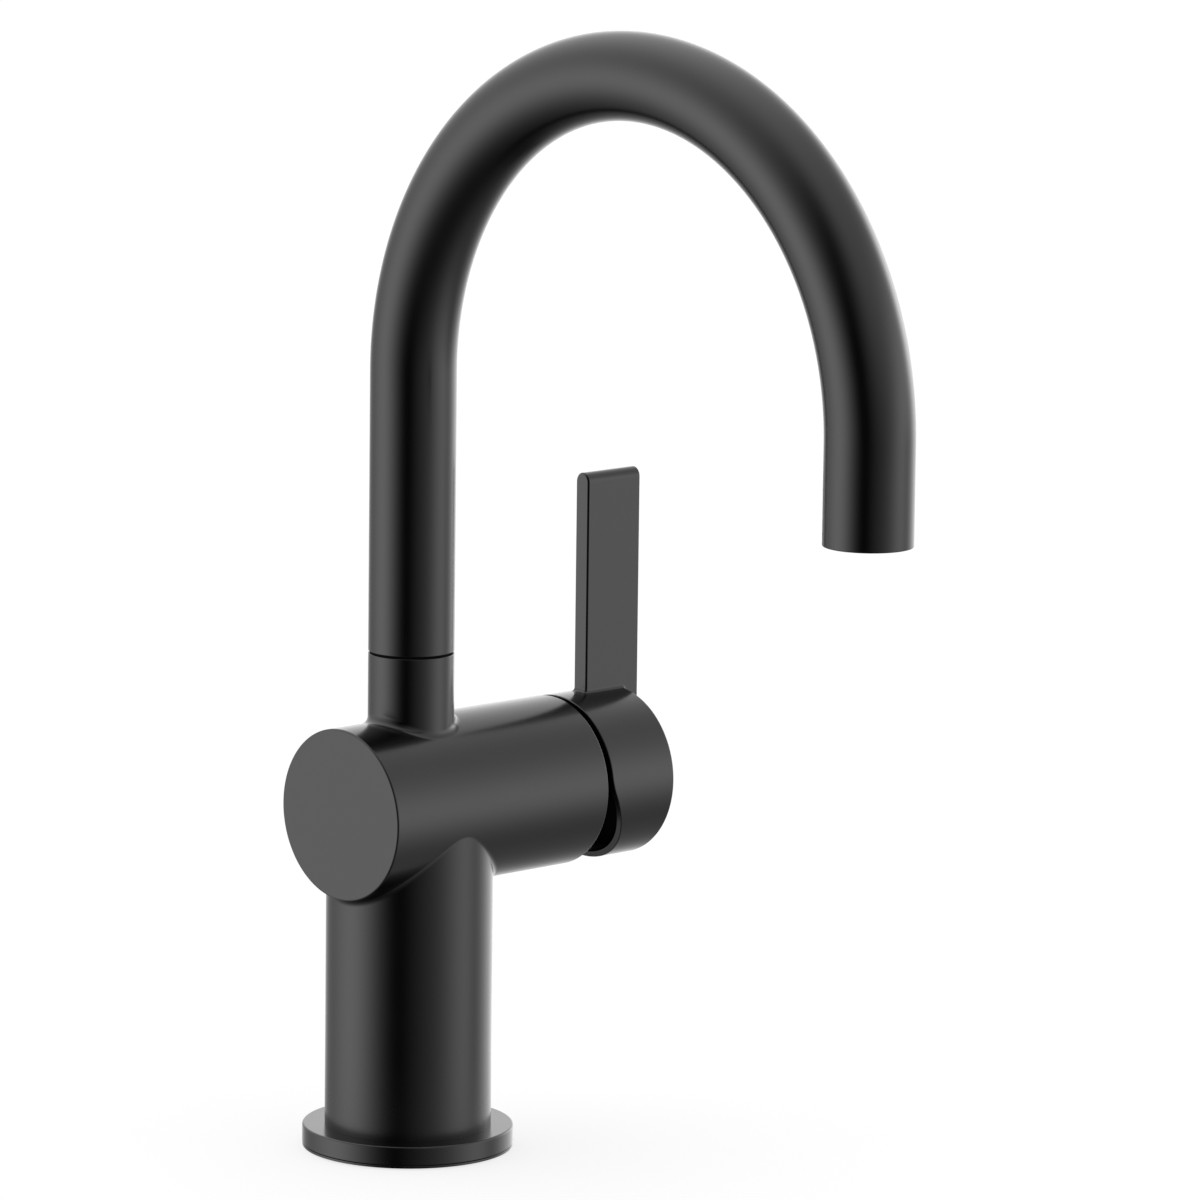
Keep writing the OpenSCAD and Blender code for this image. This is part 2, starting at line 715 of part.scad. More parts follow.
module aerator_housing() color([0.16, 0.16, 0.16]) at_outlet(aerator_foot) difference() {
    ring(aerator_d, aerator_bore - 2 * aerator_lip, aerator_l);
    translate([0, 0, aerator_lip]) cylinder(d = aerator_bore, h = aerator_l);
}

module aerator_screen() color("lightgray") at_outlet(screen_foot) difference() {
    cylinder(d = screen_d, h = screen_t);
    for (row = [-screen_rings : screen_rings], place = [-screen_rings : screen_rings])
        let (x = screen_pitch * (place + row / 2), y = screen_pitch * row * sin(60))
            if (norm([x, y]) < screen_d / 2 - screen_pitch / 2)
                translate([x, y, -over]) rotate([0, 0, 30])
                    cylinder(d = (screen_pitch - screen_bar) / cos(30), h = screen_t + 2 * over, $fn = 6);
}

module aerator_core() color("white") at_outlet(core_foot) difference() {
    cylinder(d = screen_d, h = aerator_top - core_foot);
    for (i = [0 : jet_count - 1])
        rotate([0, 0, 360 * i / jet_count])
            translate([jet_circle_d / 2, 0, -over])
                cylinder(d = jet_d, h = aerator_l);
}

module aerator_washer() color("black") at_outlet(aerator_top)
    ring(aerator_d, outlet_bore - 2 * outlet_shoulder - 2 * washer_lap, washer_top - aerator_top);

// Handle
// Side view of what the relief takes away under the hub, as [x, z]
relief_outline = concat(
    [for (i = [0 : round_steps])
        let (a = relief_angle * i / round_steps)
            [hub_x + relief_blend_r * (1 - cos(a)), relief_top + relief_tangent - relief_blend_r * sin(a)]],
    [
        [hub_x + (relief_top - hub_under) * tan(relief_angle), hub_under],
        [hub_x - over, hub_under],
        [hub_x - over, relief_top + relief_tangent]
    ]
);

// End view of the blade, as [y, z]: half-round at the top and at the hub's centre
blade_outline = concat(
    half_round([0, blade_top_h - blade_t / 2], blade_t / 2, 0),
    half_round([0, barrel_h], blade_t / 2, 180)
);

// The way in for the key of the handle screw, from below
module key_way(d, top) translate([screw_x, 0, hub_under])
    cylinder(d = d, h = top - hub_under);

module handle() color([0.13, 0.13, 0.13]) {
    difference() {
        union() {
            on_barrel(hub_x) bar(hub_d, hub_l, 0, edge_r);
            translate([blade_x, 0, 0]) rotate([90, 0, 90])
                linear_extrude(blade_w) polygon(blade_outline);
        }
        on_barrel(hub_x - over) cylinder(d = hub_bore, h = hub_floor - hub_x + over);
        translate([0, hub_d, 0]) rotate([90, 0, 0])
            linear_extrude(2 * hub_d) polygon(relief_outline);
        key_way(plug_d + 2 * fit, barrel_h - boss_d / 2 - over);
    }
    difference() {
        on_barrel(boss_x) cylinder(d = boss_d, h = boss_l + hub_end_t / 2);
        translate([boss_x - over, -socket_w / 2, barrel_h - socket_w / 2])
            cube([stem_end - boss_x + over + film, socket_w, socket_w]);
        key_way(handle_screw_d + 2 * fit, barrel_h);
    }
}

module handle_screw() color("gray") difference() {
    translate([screw_x, 0, barrel_h - stem_square / 2 - film - handle_screw_l])
        cylinder(d = handle_screw_d, h = handle_screw_l);
    key_way(hex_key_d, barrel_h - stem_square / 2 - handle_screw_l + hex_key_depth, $fn = 6);
}

module screw_plug() color([0.2, 0.2, 0.2]) intersection() {
    translate([screw_x, 0, hub_under]) cylinder(d = plug_d, h = plug_l + over);
    on_barrel(hub_x) cylinder(d = hub_d, h = hub_l);
}

deck_gasket();
base_flange();
base_block();
body_casting();
hot_riser();
cold_riser();
riser_seals();
valve_block();
port_seals();
cartridge_base();
fixed_disc();
moving_disc();
disc_carrier();
cartridge_housing();
rotor();
stem_pin();
stem();
temperature_stop();
cartridge_nut();
bonnet_ring();
spout_post();
post_seal();
post_o_rings();
swivel_washer();
spout_tube();
spout_sleeve();
lower_bushing();
upper_bushing();
swivel_screw();
outlet_sleeve();
aerator_housing();
aerator_core();
aerator_screen();
aerator_washer();
handle();
handle_screw();
screw_plug();
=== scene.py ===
"""The gooseneck bar faucet as it looks, dressed on the packed frame."""

import json
import math
from dataclasses import dataclass

import bmesh
import bpy
import numpy as np
from bpy.props import FloatProperty, FloatVectorProperty, PointerProperty
from mathutils import Matrix, Vector


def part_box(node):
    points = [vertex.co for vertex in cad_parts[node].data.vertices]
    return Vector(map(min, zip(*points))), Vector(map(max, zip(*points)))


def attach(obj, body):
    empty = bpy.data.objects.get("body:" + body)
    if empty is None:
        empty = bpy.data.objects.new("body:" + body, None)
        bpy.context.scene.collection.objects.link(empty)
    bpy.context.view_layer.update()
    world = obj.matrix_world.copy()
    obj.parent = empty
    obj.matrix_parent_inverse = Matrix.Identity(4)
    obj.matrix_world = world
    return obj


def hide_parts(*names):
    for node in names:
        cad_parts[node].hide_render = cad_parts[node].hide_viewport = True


bl_info = {
    "name": "Gooseneck bar faucet",
    "version": (1, 0, 0),
    "blender": (4, 5, 0),
    "location": "View3D > Sidebar > Faucet",
    "description": "Dresses the packed faucet with castings, spout, lever and finishes",
    "category": "Add Mesh",
}

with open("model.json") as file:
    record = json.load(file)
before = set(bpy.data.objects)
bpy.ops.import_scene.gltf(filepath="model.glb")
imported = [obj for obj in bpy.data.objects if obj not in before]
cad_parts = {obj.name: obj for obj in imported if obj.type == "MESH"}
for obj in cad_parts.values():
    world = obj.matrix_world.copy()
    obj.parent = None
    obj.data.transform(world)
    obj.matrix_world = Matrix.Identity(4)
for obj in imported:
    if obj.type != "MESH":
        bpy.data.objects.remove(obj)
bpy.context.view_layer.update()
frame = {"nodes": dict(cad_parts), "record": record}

MM = 0.001
# Meshes: sides of a bar, length of its rows, points and steps in curves
SEGMENTS = 256
ROW = 2 * MM
RIM_STEPS = 8
ARC_POINTS = 25
PATH_POINTS = 305
TUBE_SIDES = 112
TUBE_END_SEGMENTS = 4
# How far tools reach past what they cut
CLEAR = 2 * MM
HUB_SPARE = 6 * CLEAR
CUT_SPARE = 8 * CLEAR
DRILL_DEPTH = 3 * MM
BORE_MARGIN = 0.1 * MM
# The lever's relief, from upright
SLOPE = math.radians(24.6)
# Rounds: longest edge in one, radius over edge length, passes and limits of the sums
FINE = 0.45 * MM
EDGES_ACROSS = 2.2
SPLIT_PASSES = 12
BALL_STEPS = 12
BALL_REACH = 1.02
PROBE = 1e-6
ON_SKIN = 6e-6
NEARLY_ZERO = 1e-9
NO_LENGTH = 1e-12
# Shading: steepest smooth edge, and how well a face has to agree with its normals
SMOOTH_ANGLE = math.radians(30)
TUBE_END_ANGLE = math.radians(60)
AGREED = 0.75

FLANGE_LOW, FLANGE_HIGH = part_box("base_flange")
CASTING_LOW, CASTING_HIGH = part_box("body_casting")
TUBE_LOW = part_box("spout_tube")[0]
HANDLE_LOW, HANDLE_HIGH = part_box("handle")
FINISH = {entry["slot"]: entry["base_color"] for entry in frame["record"]["materials"]}


# ---------------------------------------------------------------- settings


def size(name, description, default, lowest=0.0, unit="LENGTH"):
    return FloatProperty(
        name=name,
        description=description,
        default=default,
        min=lowest,
        precision=5,
        unit=unit,
    )


def colour(name, description, default):
    return FloatVectorProperty(
        name=name,
        description=description,
        default=default,
        min=0.0,
        max=1.0,
        size=3,
        subtype="COLOR",
    )


def amount(name, description, default, highest=1.0):
    return FloatProperty(
        name=name,
        description=description,
        default=default,
        min=0.0,
        max=highest,
        subtype="FACTOR" if highest == 1.0 else "NONE",
    )


def light(name, description, default):
    return amount(name, description, default, highest=10.0)


class BodySizes(bpy.types.PropertyGroup):
    """Sizes of the base flange and of the casting that stands on it"""

    column_radius: size("Column radius", "Outside of the upright column", 24.6 * MM)
    column_bore: size("Column bore", "Radius inside the column", 21.6 * MM)
    barrel_radius: size("Barrel radius", "Outside of the cross barrel", 25.4 * MM)
    barrel_bore: size("Barrel bore", "Radius inside the barrel", 22.4 * MM)
    barrel_height: size("Barrel height", "Height of the barrel's axis", 103 * MM)
    barrel_wall: size("Barrel end", "Thickness of the barrel's closed end", 3 * MM)
    barrel_closed: size("Closed end", "Place of its closed end", CASTING_LOW[0], -1.0)
    barrel_open: size("Open end", "Place of its open end", CASTING_HIGH[0])
    neck_radius: size("Neck radius", "Outside of the neck under the spout", 12.7 * MM)
    neck_top: size("Neck top", "Height of the joint with the spout", CASTING_HIGH[2])
    post_hole: size("Post hole", "Radius of the hole for the spout's post", 8.1 * MM)
    collar_hole: size("Collar hole", "Radius of the post's collar seat", 10.45 * MM)
    collar_depth: size("Collar depth", "Depth of the collar seat", 2.5 * MM)
    rim: size("Rim radius", "Rounding of the outer rims", 0.6 * MM)
    neck_rim: size("Neck rim radius", "Rounding of the neck's upper rim", 0.25 * MM)
    fillet: size("Fillet", "Radius between column and barrel", 2.2 * MM)
    neck_fillet: size("Neck fillet", "Radius between neck and barrel", 2.8 * MM)
    flange_radius: size("Flange radius", "Outside of the base flange", FLANGE_HIGH[0])
    flange_low: size("Flange underside", "Height of its lower face", FLANGE_LOW[2])
    flange_top: size("Flange top", "Height of its upper face", CASTING_LOW[2])
    spigot_radius: size("Spigot radius", "Outside of the flange's spigot", 21.55 * MM)
    spigot_top: size("Spigot top", "Height of the flange's spigot", FLANGE_HIGH[2])
    flange_bore: size("Flange bore", "Radius of the hole in the flange", 16.45 * MM)
    sole_height: size("Sole height", "Height of the flange's sole", 0.75 * MM)
    sole_step: size("Sole step", "How far the sole stays back", 0.08 * MM)
    sole_rim: size("Sole rim", "Rounding of the rims beside the crease", 0.12 * MM)
    crease_width: size("Crease width", "Height of the crease above it", 0.22 * MM)
    crease_depth: size("Crease depth", "Depth of that crease", 0.9 * MM)
    gasket_inner: size("Gasket bore", "Inside of the gasket's groove", 20.55 * MM)
    gasket_outer: size("Gasket radius", "Outside of the gasket's groove", 29.55 * MM)
    gasket_depth: size("Gasket height", "Height of the gasket's groove", 1.6 * MM)


class SpoutSizes(bpy.types.PropertyGroup):
    """Sizes of the bent tube"""

    radius: size("Tube radius", "Outside of the tube", 12.7 * MM)
    wall: size("Tube wall", "Thickness of the tube's wall", 1.3 * MM)
    rim: size("Rim radius", "Rounding of the tube's two ends", 0.3 * MM)
    foot: size("Foot", "Height of the tube's foot", TUBE_LOW[2])
    arch_radius: size("Arch radius", "Radius of the arch at the tube's centre", 93 * MM)
    arch_height: size("Arch height", "Height of the arch's centre", 231.8 * MM)
    outlet: size("Outlet", "Height of the open end", 203.6 * MM)
    screw_height: size("Screw height", "Height of the screw at the back", 158.2 * MM)
    screw_hole: size("Screw hole", "Radius of the hole for that screw", 2.05 * MM)


class LeverSizes(bpy.types.PropertyGroup):
    """Sizes of the hub and its blade"""

    hub_radius: size("Hub radius", "Outside of the hub", HANDLE_HIGH[1])
    hub_bore: size("Hub bore", "Radius inside the hub", 23.55 * MM)
    hub_start: size("Hub start", "Place of the hub's open end", HANDLE_LOW[0])
    hub_end: size("Hub end", "Place of the hub's closed end", 83.51 * MM)
    hub_floor: size("Hub floor", "Place of the closed end's inner face", 79.51 * MM)
    rim: size("Rim radius", "Rounding of the closed end", 0.5 * MM)
    relief_rim: size("Relief rim", "Rounding along the cut-away edge", 0.32 * MM)
    relief_radius: size("Relief radius", "Blend at the start of the relief", 13.6 * MM)
    relief_start: size("Relief start", "Where its slope would begin", 1.5 * MM)
    relief_slope: size("Relief slope", "Its slope from upright", SLOPE, unit="ROTATION")
    blade_start: size("Blade start", "Place of the blade's narrow side", 68.11 * MM)
    blade_end: size("Blade end", "Place of the blade's other side", HANDLE_HIGH[0])
    blade_half: size("Half blade", "Half the blade's thickness", 2.75 * MM)
    blade_top: size("Blade top", "Height of the blade's top", HANDLE_HIGH[2])
    blade_bevel: size("Blade bevel", "Bevel along the blade's edges", 0.38 * MM)
    blade_edge: size("Blade edge", "Rounding of that bevel's edges", 0.12 * MM)
    fillet: size("Fillet", "Radius between blade and hub", 1.3 * MM)
    boss_start: size("Boss start", "Place of the inner boss", 65.91 * MM)
    boss_radius: size("Boss radius", "Outside of the inner boss", 8 * MM)
    socket_half: size("Half socket", "Half the width of the square socket", 4.5 * MM)
    socket_end: size("Socket end", "Depth of the square socket", 79.35 * MM)
    screw_place: size("Screw place", "Place of the handle's screw", 75.41 * MM)
    screw_hole: size("Screw hole", "Radius of that screw's hole", 2.45 * MM)
    plug_hole: size("Plug hole", "Radius of the hole for the plug", 2.85 * MM)


class Finishes(bpy.types.PropertyGroup):
    """Colours of the coatings, the uncoated materials and the black that paints shade"""

    satin_black: colour("Black coat", "Satin coat on everything outside", (0.001,) * 3)
    # Painted shade: near-black with next to no reflection, for the hub's hollow and the
    # joint gaps
    bare_black: colour("Bare black", "Unlit surfaces inside the joints", (0.001,) * 3)
    brass: colour("Brass", "Machined brass", FINISH["brass"])
    copper: colour("Copper", "Drawn copper tube", FINISH["copper"])
    steel: colour("Steel", "Turned steel", FINISH["steel"])
    rubber: colour("Rubber", "Rings and gaskets", FINISH["rubber"])
    black_plastic: colour("Black plastic", "Dark mouldings", FINISH["black_plastic"])
    grey_plastic: colour("Grey plastic", "Grey mouldings", FINISH["grey_plastic"])
    white_plastic: colour("White plastic", "Pale mouldings", FINISH["white_plastic"])
    red_plastic: colour("Red plastic", "The temperature stop", FINISH["red_plastic"])
    ceramic: colour("Ceramic", "The two discs", FINISH["ceramic"])
    coat_roughness: amount("Coat roughness", "Roughness of the black coat", 0.22)
    coat_grain: amount("Coat grain", "How much the coat's gloss varies", 0.05)
    foot_roughness: amount("Foot roughness", "Added at the column's foot", 0.08)
    foot_height: size("Foot height", "Where the coat is even again", 30 * MM)


class StageLights(bpy.types.PropertyGroup):
    """The white surroundings and their soft lights"""

    floor: colour("Floor", "Colour of the floor", (0.9, 0.9, 0.9))
    floor_glow: amount("Floor glow", "Share of the floor that is plain white", 0.75)
    left: light("Left light", "Wide soft light at the left", 2.37)
    right: light("Right light", "Wide soft light at the right", 2.96)
    top: light("Top light", "Soft light overhead", 1.57)
    side: light("Side light", "Narrow light at the lever's side", 2.49)
    backdrop: light("Backdrop", "The white backdrop behind the faucet", 1.74)
    fill: light("Fill", "Wide, weak light from the front", 1.06)
    low_flag: light("Low flag", "Dark flag under the right light", 1.8)
    right_flag: light("Right flag", "Narrow dark flag in the right light", 0.56)
    camera_flag: light("Camera flag", "Dark flag beside the camera", 0.63)
    high_flag: light("High flag", "Dark flag above the camera", 0.72)


# ---------------------------------------------------------------- node trees

MEAN_NOISE = 0.5
# Features to the metre in the coat, and depth of its film in metres
COAT_GRAIN, COAT_FLOW, COAT_FILM = 3200.0, 90.0, 2.5e-6
# How far the coat's dryness at the foot would rise if it weren't held at 1
FOOT_FADE = 1.4
# How much tool marks are drawn out along the turning
MARK_STRETCH = 0.04


class Value:
    """One socket of a node tree; arithmetic on it adds Math nodes."""

    def __init__(self, tree, socket):
        self.tree = tree
        self.socket = socket

    def math(self, operation, *rest):
        settings = {"operation": operation}
        return self.tree.node("ShaderNodeMath", settings, (self, *rest))

    def __add__(self, other):
        return self.math("ADD", other)

    def __sub__(self, other):
        return self.math("SUBTRACT", other)

    def __rsub__(self, other):
        settings = {"operation": "SUBTRACT"}
        return self.tree.node("ShaderNodeMath", settings, (other, self))

    def __mul__(self, other):
        return self.math("MULTIPLY", other)

    def __truediv__(self, other):
        return self.math("DIVIDE", other)

    __radd__ = __add__
    __rmul__ = __mul__


class Tree:
    """Adds nodes to a shader or geometry tree."""

    def __init__(self, tree, material=None):
        self.tree = tree
        self.material = material

    def node(self, kind, settings=None, sockets=(), output=0):
        made = self.tree.nodes.new(kind)
        for name, value in (settings or {}).items():
            if name == "stops":
                self.set_stops(made.color_ramp, value)
            else:
                setattr(made, name, value)
        pairs = sockets.items() if isinstance(sockets, dict) else enumerate(sockets)
        for key, value in pairs:
            if isinstance(value, Value):
                self.tree.links.new(value.socket, made.inputs[key])
            else:
                made.inputs[key].default_value = value
        return Value(self, made.outputs[output]) if made.outputs else made

    @staticmethod
    def set_stops(ramp, stops):
        while len(ramp.elements) < len(stops):
            ramp.elements.new(0.5)
        for element, (place, tint) in zip(ramp.elements, stops):
            element.position = place
            element.color = (*tint, 1.0)

    def blend(self, factor, first, second):
        """Mixes two colours."""
        sockets = {0: factor}
        for key, tint in ((6, first), (7, second)):
            sockets[key] = tint if isinstance(tint, Value) else (*tint, 1.0)
        return self.node("ShaderNodeMix", {"data_type": "RGBA"}, sockets, 2)

    def place(self):
        """The point on the object, in metres."""
        return self.node("ShaderNodeTexCoord", output="Object")

    def noise(self, place, scale, detail=2.0, roughness=0.5):
        """Noise from 0 to 1 about 0.5; scale is in features to the metre."""
        sockets = {"Vector": place, "Scale": scale}
        sockets.update({"Detail": detail, "Roughness": roughness})
        return self.node("ShaderNodeTexNoise", None, sockets)

    def stretched(self, place, stretch):
        """The place with each axis scaled by its own factor."""
        settings = {"operation": "MULTIPLY"}
        return self.node("ShaderNodeVectorMath", settings, (place, stretch))


def scaled(tint, factor):
    return tuple(factor * part for part in tint)


def varied(mean, *noises):
    """A mean with noises about it, each after how far it swings."""
    for swing, noise in noises:
        mean = mean + swing * (noise - MEAN_NOISE)
    return mean


def new_material(name):
    """The empty tree of a new material."""
    material = bpy.data.materials.new(name)
    material.use_nodes = True
    material.node_tree.nodes.clear()
    return Tree(material.node_tree, material)


def close_material(tree, base, roughness, height, depth, **constants):
    """Ends a material in its shader; its bump follows height, over depth metres."""
    sockets = {"Base Color": base, "Roughness": roughness}
    for key, value in constants.items():
        sockets[key.replace("_", " ")] = value
    bump = {"Strength": 1.0, "Distance": depth, "Height": height}
    sockets["Normal"] = tree.node("ShaderNodeBump", None, bump)
    shader = tree.node("ShaderNodeBsdfPrincipled", None, sockets)
    tree.node("ShaderNodeOutputMaterial", None, (shader,))
    return tree.material


def coat_material(finishes, drier_foot=False):
    """Satin black coat: a fine, even grain and a very slight flow in the film.

    The spray falls drier, so duller, at the foot of the column.
    """
    tree = new_material("satin_black_coat")
    place = tree.place()
    grain = tree.noise(place, COAT_GRAIN)
    flow = tree.noise(place, COAT_FLOW)
    tint = tuple(finishes.satin_black)
    base = tree.blend(grain, tint, scaled(tint, 1.6))
    noises = (finishes.coat_grain, grain), (0.03, flow)
    gloss = varied(finishes.coat_roughness, *noises)
    if drier_foot:
        height = tree.node("ShaderNodeSeparateXYZ", None, (place,), "Z")
        near = FOOT_FADE - height * (FOOT_FADE / finishes.foot_height)
        near = near.math("MAXIMUM", 0.0).math("MINIMUM", 1.0)
        gloss = gloss + finishes.foot_roughness * near
    film = 0.75 * grain + 0.25 * flow
    return close_material(tree, base, gloss, film, COAT_FILM, IOR=1.5)


def matt_material(name, tint):
    """Matt black that throws back next to no light: painted shade in hollows and gaps.
    """
    tree = new_material(name)
    place = tree.place()
    pits = tree.noise(place, scale=1500.0, detail=3.0, roughness=0.6)
    base = tree.blend(pits, tint, scaled(tint, 2))
    gloss = varied(0.8, (0.1, pits))
    return close_material(tree, base, gloss, pits, depth=8e-6, Specular_IOR_Level=0.05)


def metal_material(name, tint, axis, roughness=0.3, rings=9000.0, tarnish=0.12):
    """Bare metal turned about an axis, with tool marks and a little tarnish."""
    tree = new_material(name)
    place = tree.place()
    across = [MARK_STRETCH] * 3
    across[axis] = 1.0
    marks = tree.noise(tree.stretched(place, across), rings, detail=1.0)
    cloud = tree.noise(place, scale=140.0, detail=4.0, roughness=0.6)
    darker = scaled(tint, (1 - tarnish) ** 3)
    base = tree.blend(0.7 * cloud + 0.3 * marks, darker, tint)
    gloss = varied(roughness, (0.14, cloud), (0.1, marks))
    return close_material(tree, base, gloss, marks, depth=4e-6, Metallic=1.0)


def drawn_material(name, tint):
    """Copper tube with streaks along its length and fingered, darker patches."""
    tree = new_material(name)
    place = tree.place()
    streaks = tree.noise(tree.stretched(place, (1.0, 1.0, 0.03)), scale=5200.0)
    patches = tree.noise(place, scale=210.0, detail=5.0, roughness=0.65)
    mixed = 0.65 * patches + 0.35 * streaks
    base = tree.blend(mixed, scaled(tint, 0.55), tint)
    gloss = varied(0.28, (0.2, patches), (0.08, streaks))
    return close_material(tree, base, gloss, streaks, depth=3e-6, Metallic=1.0)


def moulded_material(name, tint, roughness=0.48, grain=1500.0, depth=7e-6):
    """Moulded plastic or rubber: spark-eroded grain and a slight cloudiness."""
    tree = new_material(name)
    place = tree.place()
    pits = tree.noise(place, grain, detail=3.0, roughness=0.6)
    cloud = tree.noise(place, scale=120.0, detail=3.0)
    paler = tuple(part + 0.06 * (1 - part) * (0.2 + part) for part in tint)
    base = tree.blend(0.5 * pits + 0.5 * cloud, tint, paler)
    gloss = varied(roughness, (0.12, pits), (0.08, cloud))
    return close_material(tree, base, gloss, pits, depth)


def ceramic_material(name, tint):
    """Lapped ceramic: nearly mirror flat, with a fine speckle in the body."""
    tree = new_material(name)
    place = tree.place()
    speckle = tree.noise(place, scale=2600.0, detail=4.0, roughness=0.7)
    stops = [(0.42, scaled(tint, 0.8)), (0.56, tint)]
    base = tree.node("ShaderNodeValToRGB", {"stops": stops}, (speckle,))
    gloss = varied(0.16, (0.08, speckle))
    return close_material(tree, base, gloss, speckle, depth=1e-6)


# ---------------------------------------------------------------- shapes


def unit(vectors):
    lengths = np.linalg.norm(vectors, axis=1, keepdims=True)
    return vectors / np.maximum(lengths, NO_LENGTH)


def dot(first, second):
    return np.einsum("ij,ij->i", first, second)


def gradient(distance, points):
    """The direction in which a distance grows, at each point."""
    slopes = np.empty_like(points)
    for axis in range(3):
        step = np.zeros(3)
        step[axis] = PROBE
        slopes[:, axis] = distance(points + step) - distance(points - step)
    return unit(slopes)


def rounded_box(across, along, edge):
    """Distance from a box with rounded edges, from how far points pass its faces."""
    outer = np.hypot(np.maximum(across + edge, 0), np.maximum(along + edge, 0))
    return outer + np.minimum(np.maximum(across + edge, along + edge), 0) - edge


def bevelled_box(across, along, cut, edge):
    """The same for a box with bevelled edges, the bevel's own edges rounded."""
    side, end = across + edge, along + edge
    deep = np.maximum(np.maximum(side, end), (side + end + cut) / math.sqrt(2))
    share = np.clip((end - side + cut) / (2 * cut), 0.0, 1.0)
    on_bevel = np.hypot(side + cut * share, end + cut * (1 - share))
    on_side = np.hypot(side, np.maximum(end + cut, 0))
    on_end = np.hypot(np.maximum(side + cut, 0), end)
    outer = np.minimum(on_bevel, np.minimum(on_side, on_end))
    return np.where(deep < 0, deep, outer) - edge


def stretch(low, high, step=ROW):
    """Places from low to high, both included, about a step apart."""
    return list(np.linspace(low, high, max(2, round((high - low) / step) + 1)))


def new_mesh(name, points, faces):
    mesh = bpy.data.meshes.new(name)
    mesh.from_pydata([tuple(point) for point in points], [], faces)
    mesh.update()
    return mesh


def bands(rows, count, ring=False):
    """Faces between rows of points, each row a loop, closed by caps or as a ring."""
    faces = []
    for low in range(rows if ring else rows - 1):
        high = (low + 1) % rows
        for here in range(count):
            there = (here + 1) % count
            corners = (low, here), (low, there), (high, there), (high, here)
            faces.append([row * count + place for row, place in corners])
    if not ring:
        faces.append(list(range(count))[::-1])
        faces.append([(rows - 1) * count + place for place in range(count)])
    return faces


def turned(name, outline, axis="z", centre=0.0, ring=False):
    """A mesh of (radius, along) points turned about an axis; a ring's are a loop."""
    outline = np.array(outline)
    turn = np.linspace(0, 2 * math.pi, SEGMENTS, endpoint=False)
    across = outline[:, :1] * np.cos(turn)
    side = outline[:, :1] * np.sin(turn)
    along = np.repeat(outline[:, 1:], SEGMENTS, axis=1)
    if axis == "x":
        stack = (along, side, centre - across)
    else:
        stack = (across, side, along)
    points = np.stack(stack, axis=-1).reshape(-1, 3)
    return new_mesh(name, points, bands(len(outline), SEGMENTS, ring))


def rim(radius, end, edge, up):
    """Outline points of a rounded rim, wall to face, or back for a lower rim."""
    turns = [math.pi / 2 * step / RIM_STEPS for step in range(RIM_STEPS + 1)]
    side = 1 if up else -1
    points = [
        (radius - edge + edge * math.cos(a), end + side * edge * (math.sin(a) - 1))
        for a in turns
    ]
    return points if up else points[::-1]


@dataclass
class Bar:
    """A solid round bar along X or Z whose rims may be rounded."""

    axis: str
    radius: float
    low: float
    high: float
    low_rim: float = 0.0
    high_rim: float = 0.0
    centre: float = 0.0

    def distance(self, points):
        x, y, z = points.T
        if self.axis == "x":
            away, along = np.hypot(y, z - self.centre), x
        else:
            away, along = np.hypot(x, y), z
        middle = (self.low + self.high) / 2
        edge = np.where(along > middle, self.high_rim, self.low_rim)
        past = np.abs(along - middle) - (self.high - self.low) / 2
        return rounded_box(away - self.radius, past, edge)

    def mesh(self, name="bar"):
        low_rim, high_rim = self.low_rim, self.high_rim
        lower = rim(self.radius, self.low, low_rim, False) if low_rim else []
        upper = rim(self.radius, self.high, high_rim, True) if high_rim else []
        rows = stretch(self.low + low_rim, self.high - high_rim)
        wall = [(self.radius, at) for at in rows]
        wall = wall[1 if lower else 0 : -1 if upper else None]
        return turned(name, lower + wall + upper, self.axis, self.centre)


@dataclass
class Blade:
    """The lever's flat blade: half-round above and below, all its edges bevelled."""

    start: float
    end: float
    half: float
    low: float
    top: float
    bevel: float
    edge: float

    def distance(self, points):
        x, y, z = points.T
        past = np.maximum(0, np.maximum(self.low - z, z - (self.top - self.half)))
        across = np.hypot(y, past) - self.half
        along = np.abs(x - (self.start + self.end) / 2) - (self.end - self.start) / 2
        return bevelled_box(across, along, self.bevel, self.edge)

    def corner(self):
        """How far the corner stays back from the end and the side, from end to side."""
        halfway = RIM_STEPS // 2
        points = []
        for step in [*range(halfway + 1), *range(halfway, RIM_STEPS + 1)]:
            a = math.pi / 2 * step / RIM_STEPS
            back, side = 1 - math.cos(a), 1 - math.sin(a)
            points.append([self.edge * back, self.edge * side])
        for place, point in enumerate(points):
            point[int(place <= halfway)] += self.bevel
        return points

    def outline(self, half):
        """Points (y, z) round the blade at that half thickness."""
        turns = np.linspace(0, math.pi, ARC_POINTS)
        high = self.top - self.half
        above = [(half * math.cos(a), high + half * math.sin(a)) for a in turns]
        below = [(-half * math.cos(a), self.low - half * math.sin(a)) for a in turns]
        sides = stretch(self.low, high)[1:-1]
        left = [(-half, at) for at in reversed(sides)]
        return above + left + below + [(half, at) for at in sides]

    def mesh(self):
        corner = self.corner()
        sections = [(self.start + back, self.half - side) for back, side in corner]
        inset = self.bevel + self.edge
        inner = stretch(self.start + inset, self.end - inset)[1:-1]
        sections += [(at, self.half) for at in inner]
        for back, side in reversed(corner):
            sections.append((self.end - back, self.half - side))
        points = [(x, y, z) for x, half in sections for y, z in self.outline(half)]
        faces = bands(len(sections), len(points) // len(sections))
        return new_mesh("blade", points, faces)


def block(name, low, high):
    """A plain box, as a tool for cutting."""
    shape = bmesh.new()
    bmesh.ops.create_cube(shape, size=1.0)
    low, high = Vector(low), Vector(high)
    middle, span = (low + high) / 2, high - low
    matrix = Matrix.Translation(middle) @ Matrix.Diagonal((*span, 1))
    bmesh.ops.transform(shape, matrix=matrix, verts=shape.verts)
    mesh = bpy.data.meshes.new(name)
    shape.to_mesh(mesh)
    shape.free()
    return mesh


def moved(mesh, *matrices):
    for matrix in matrices:
        mesh.transform(matrix)
    return mesh


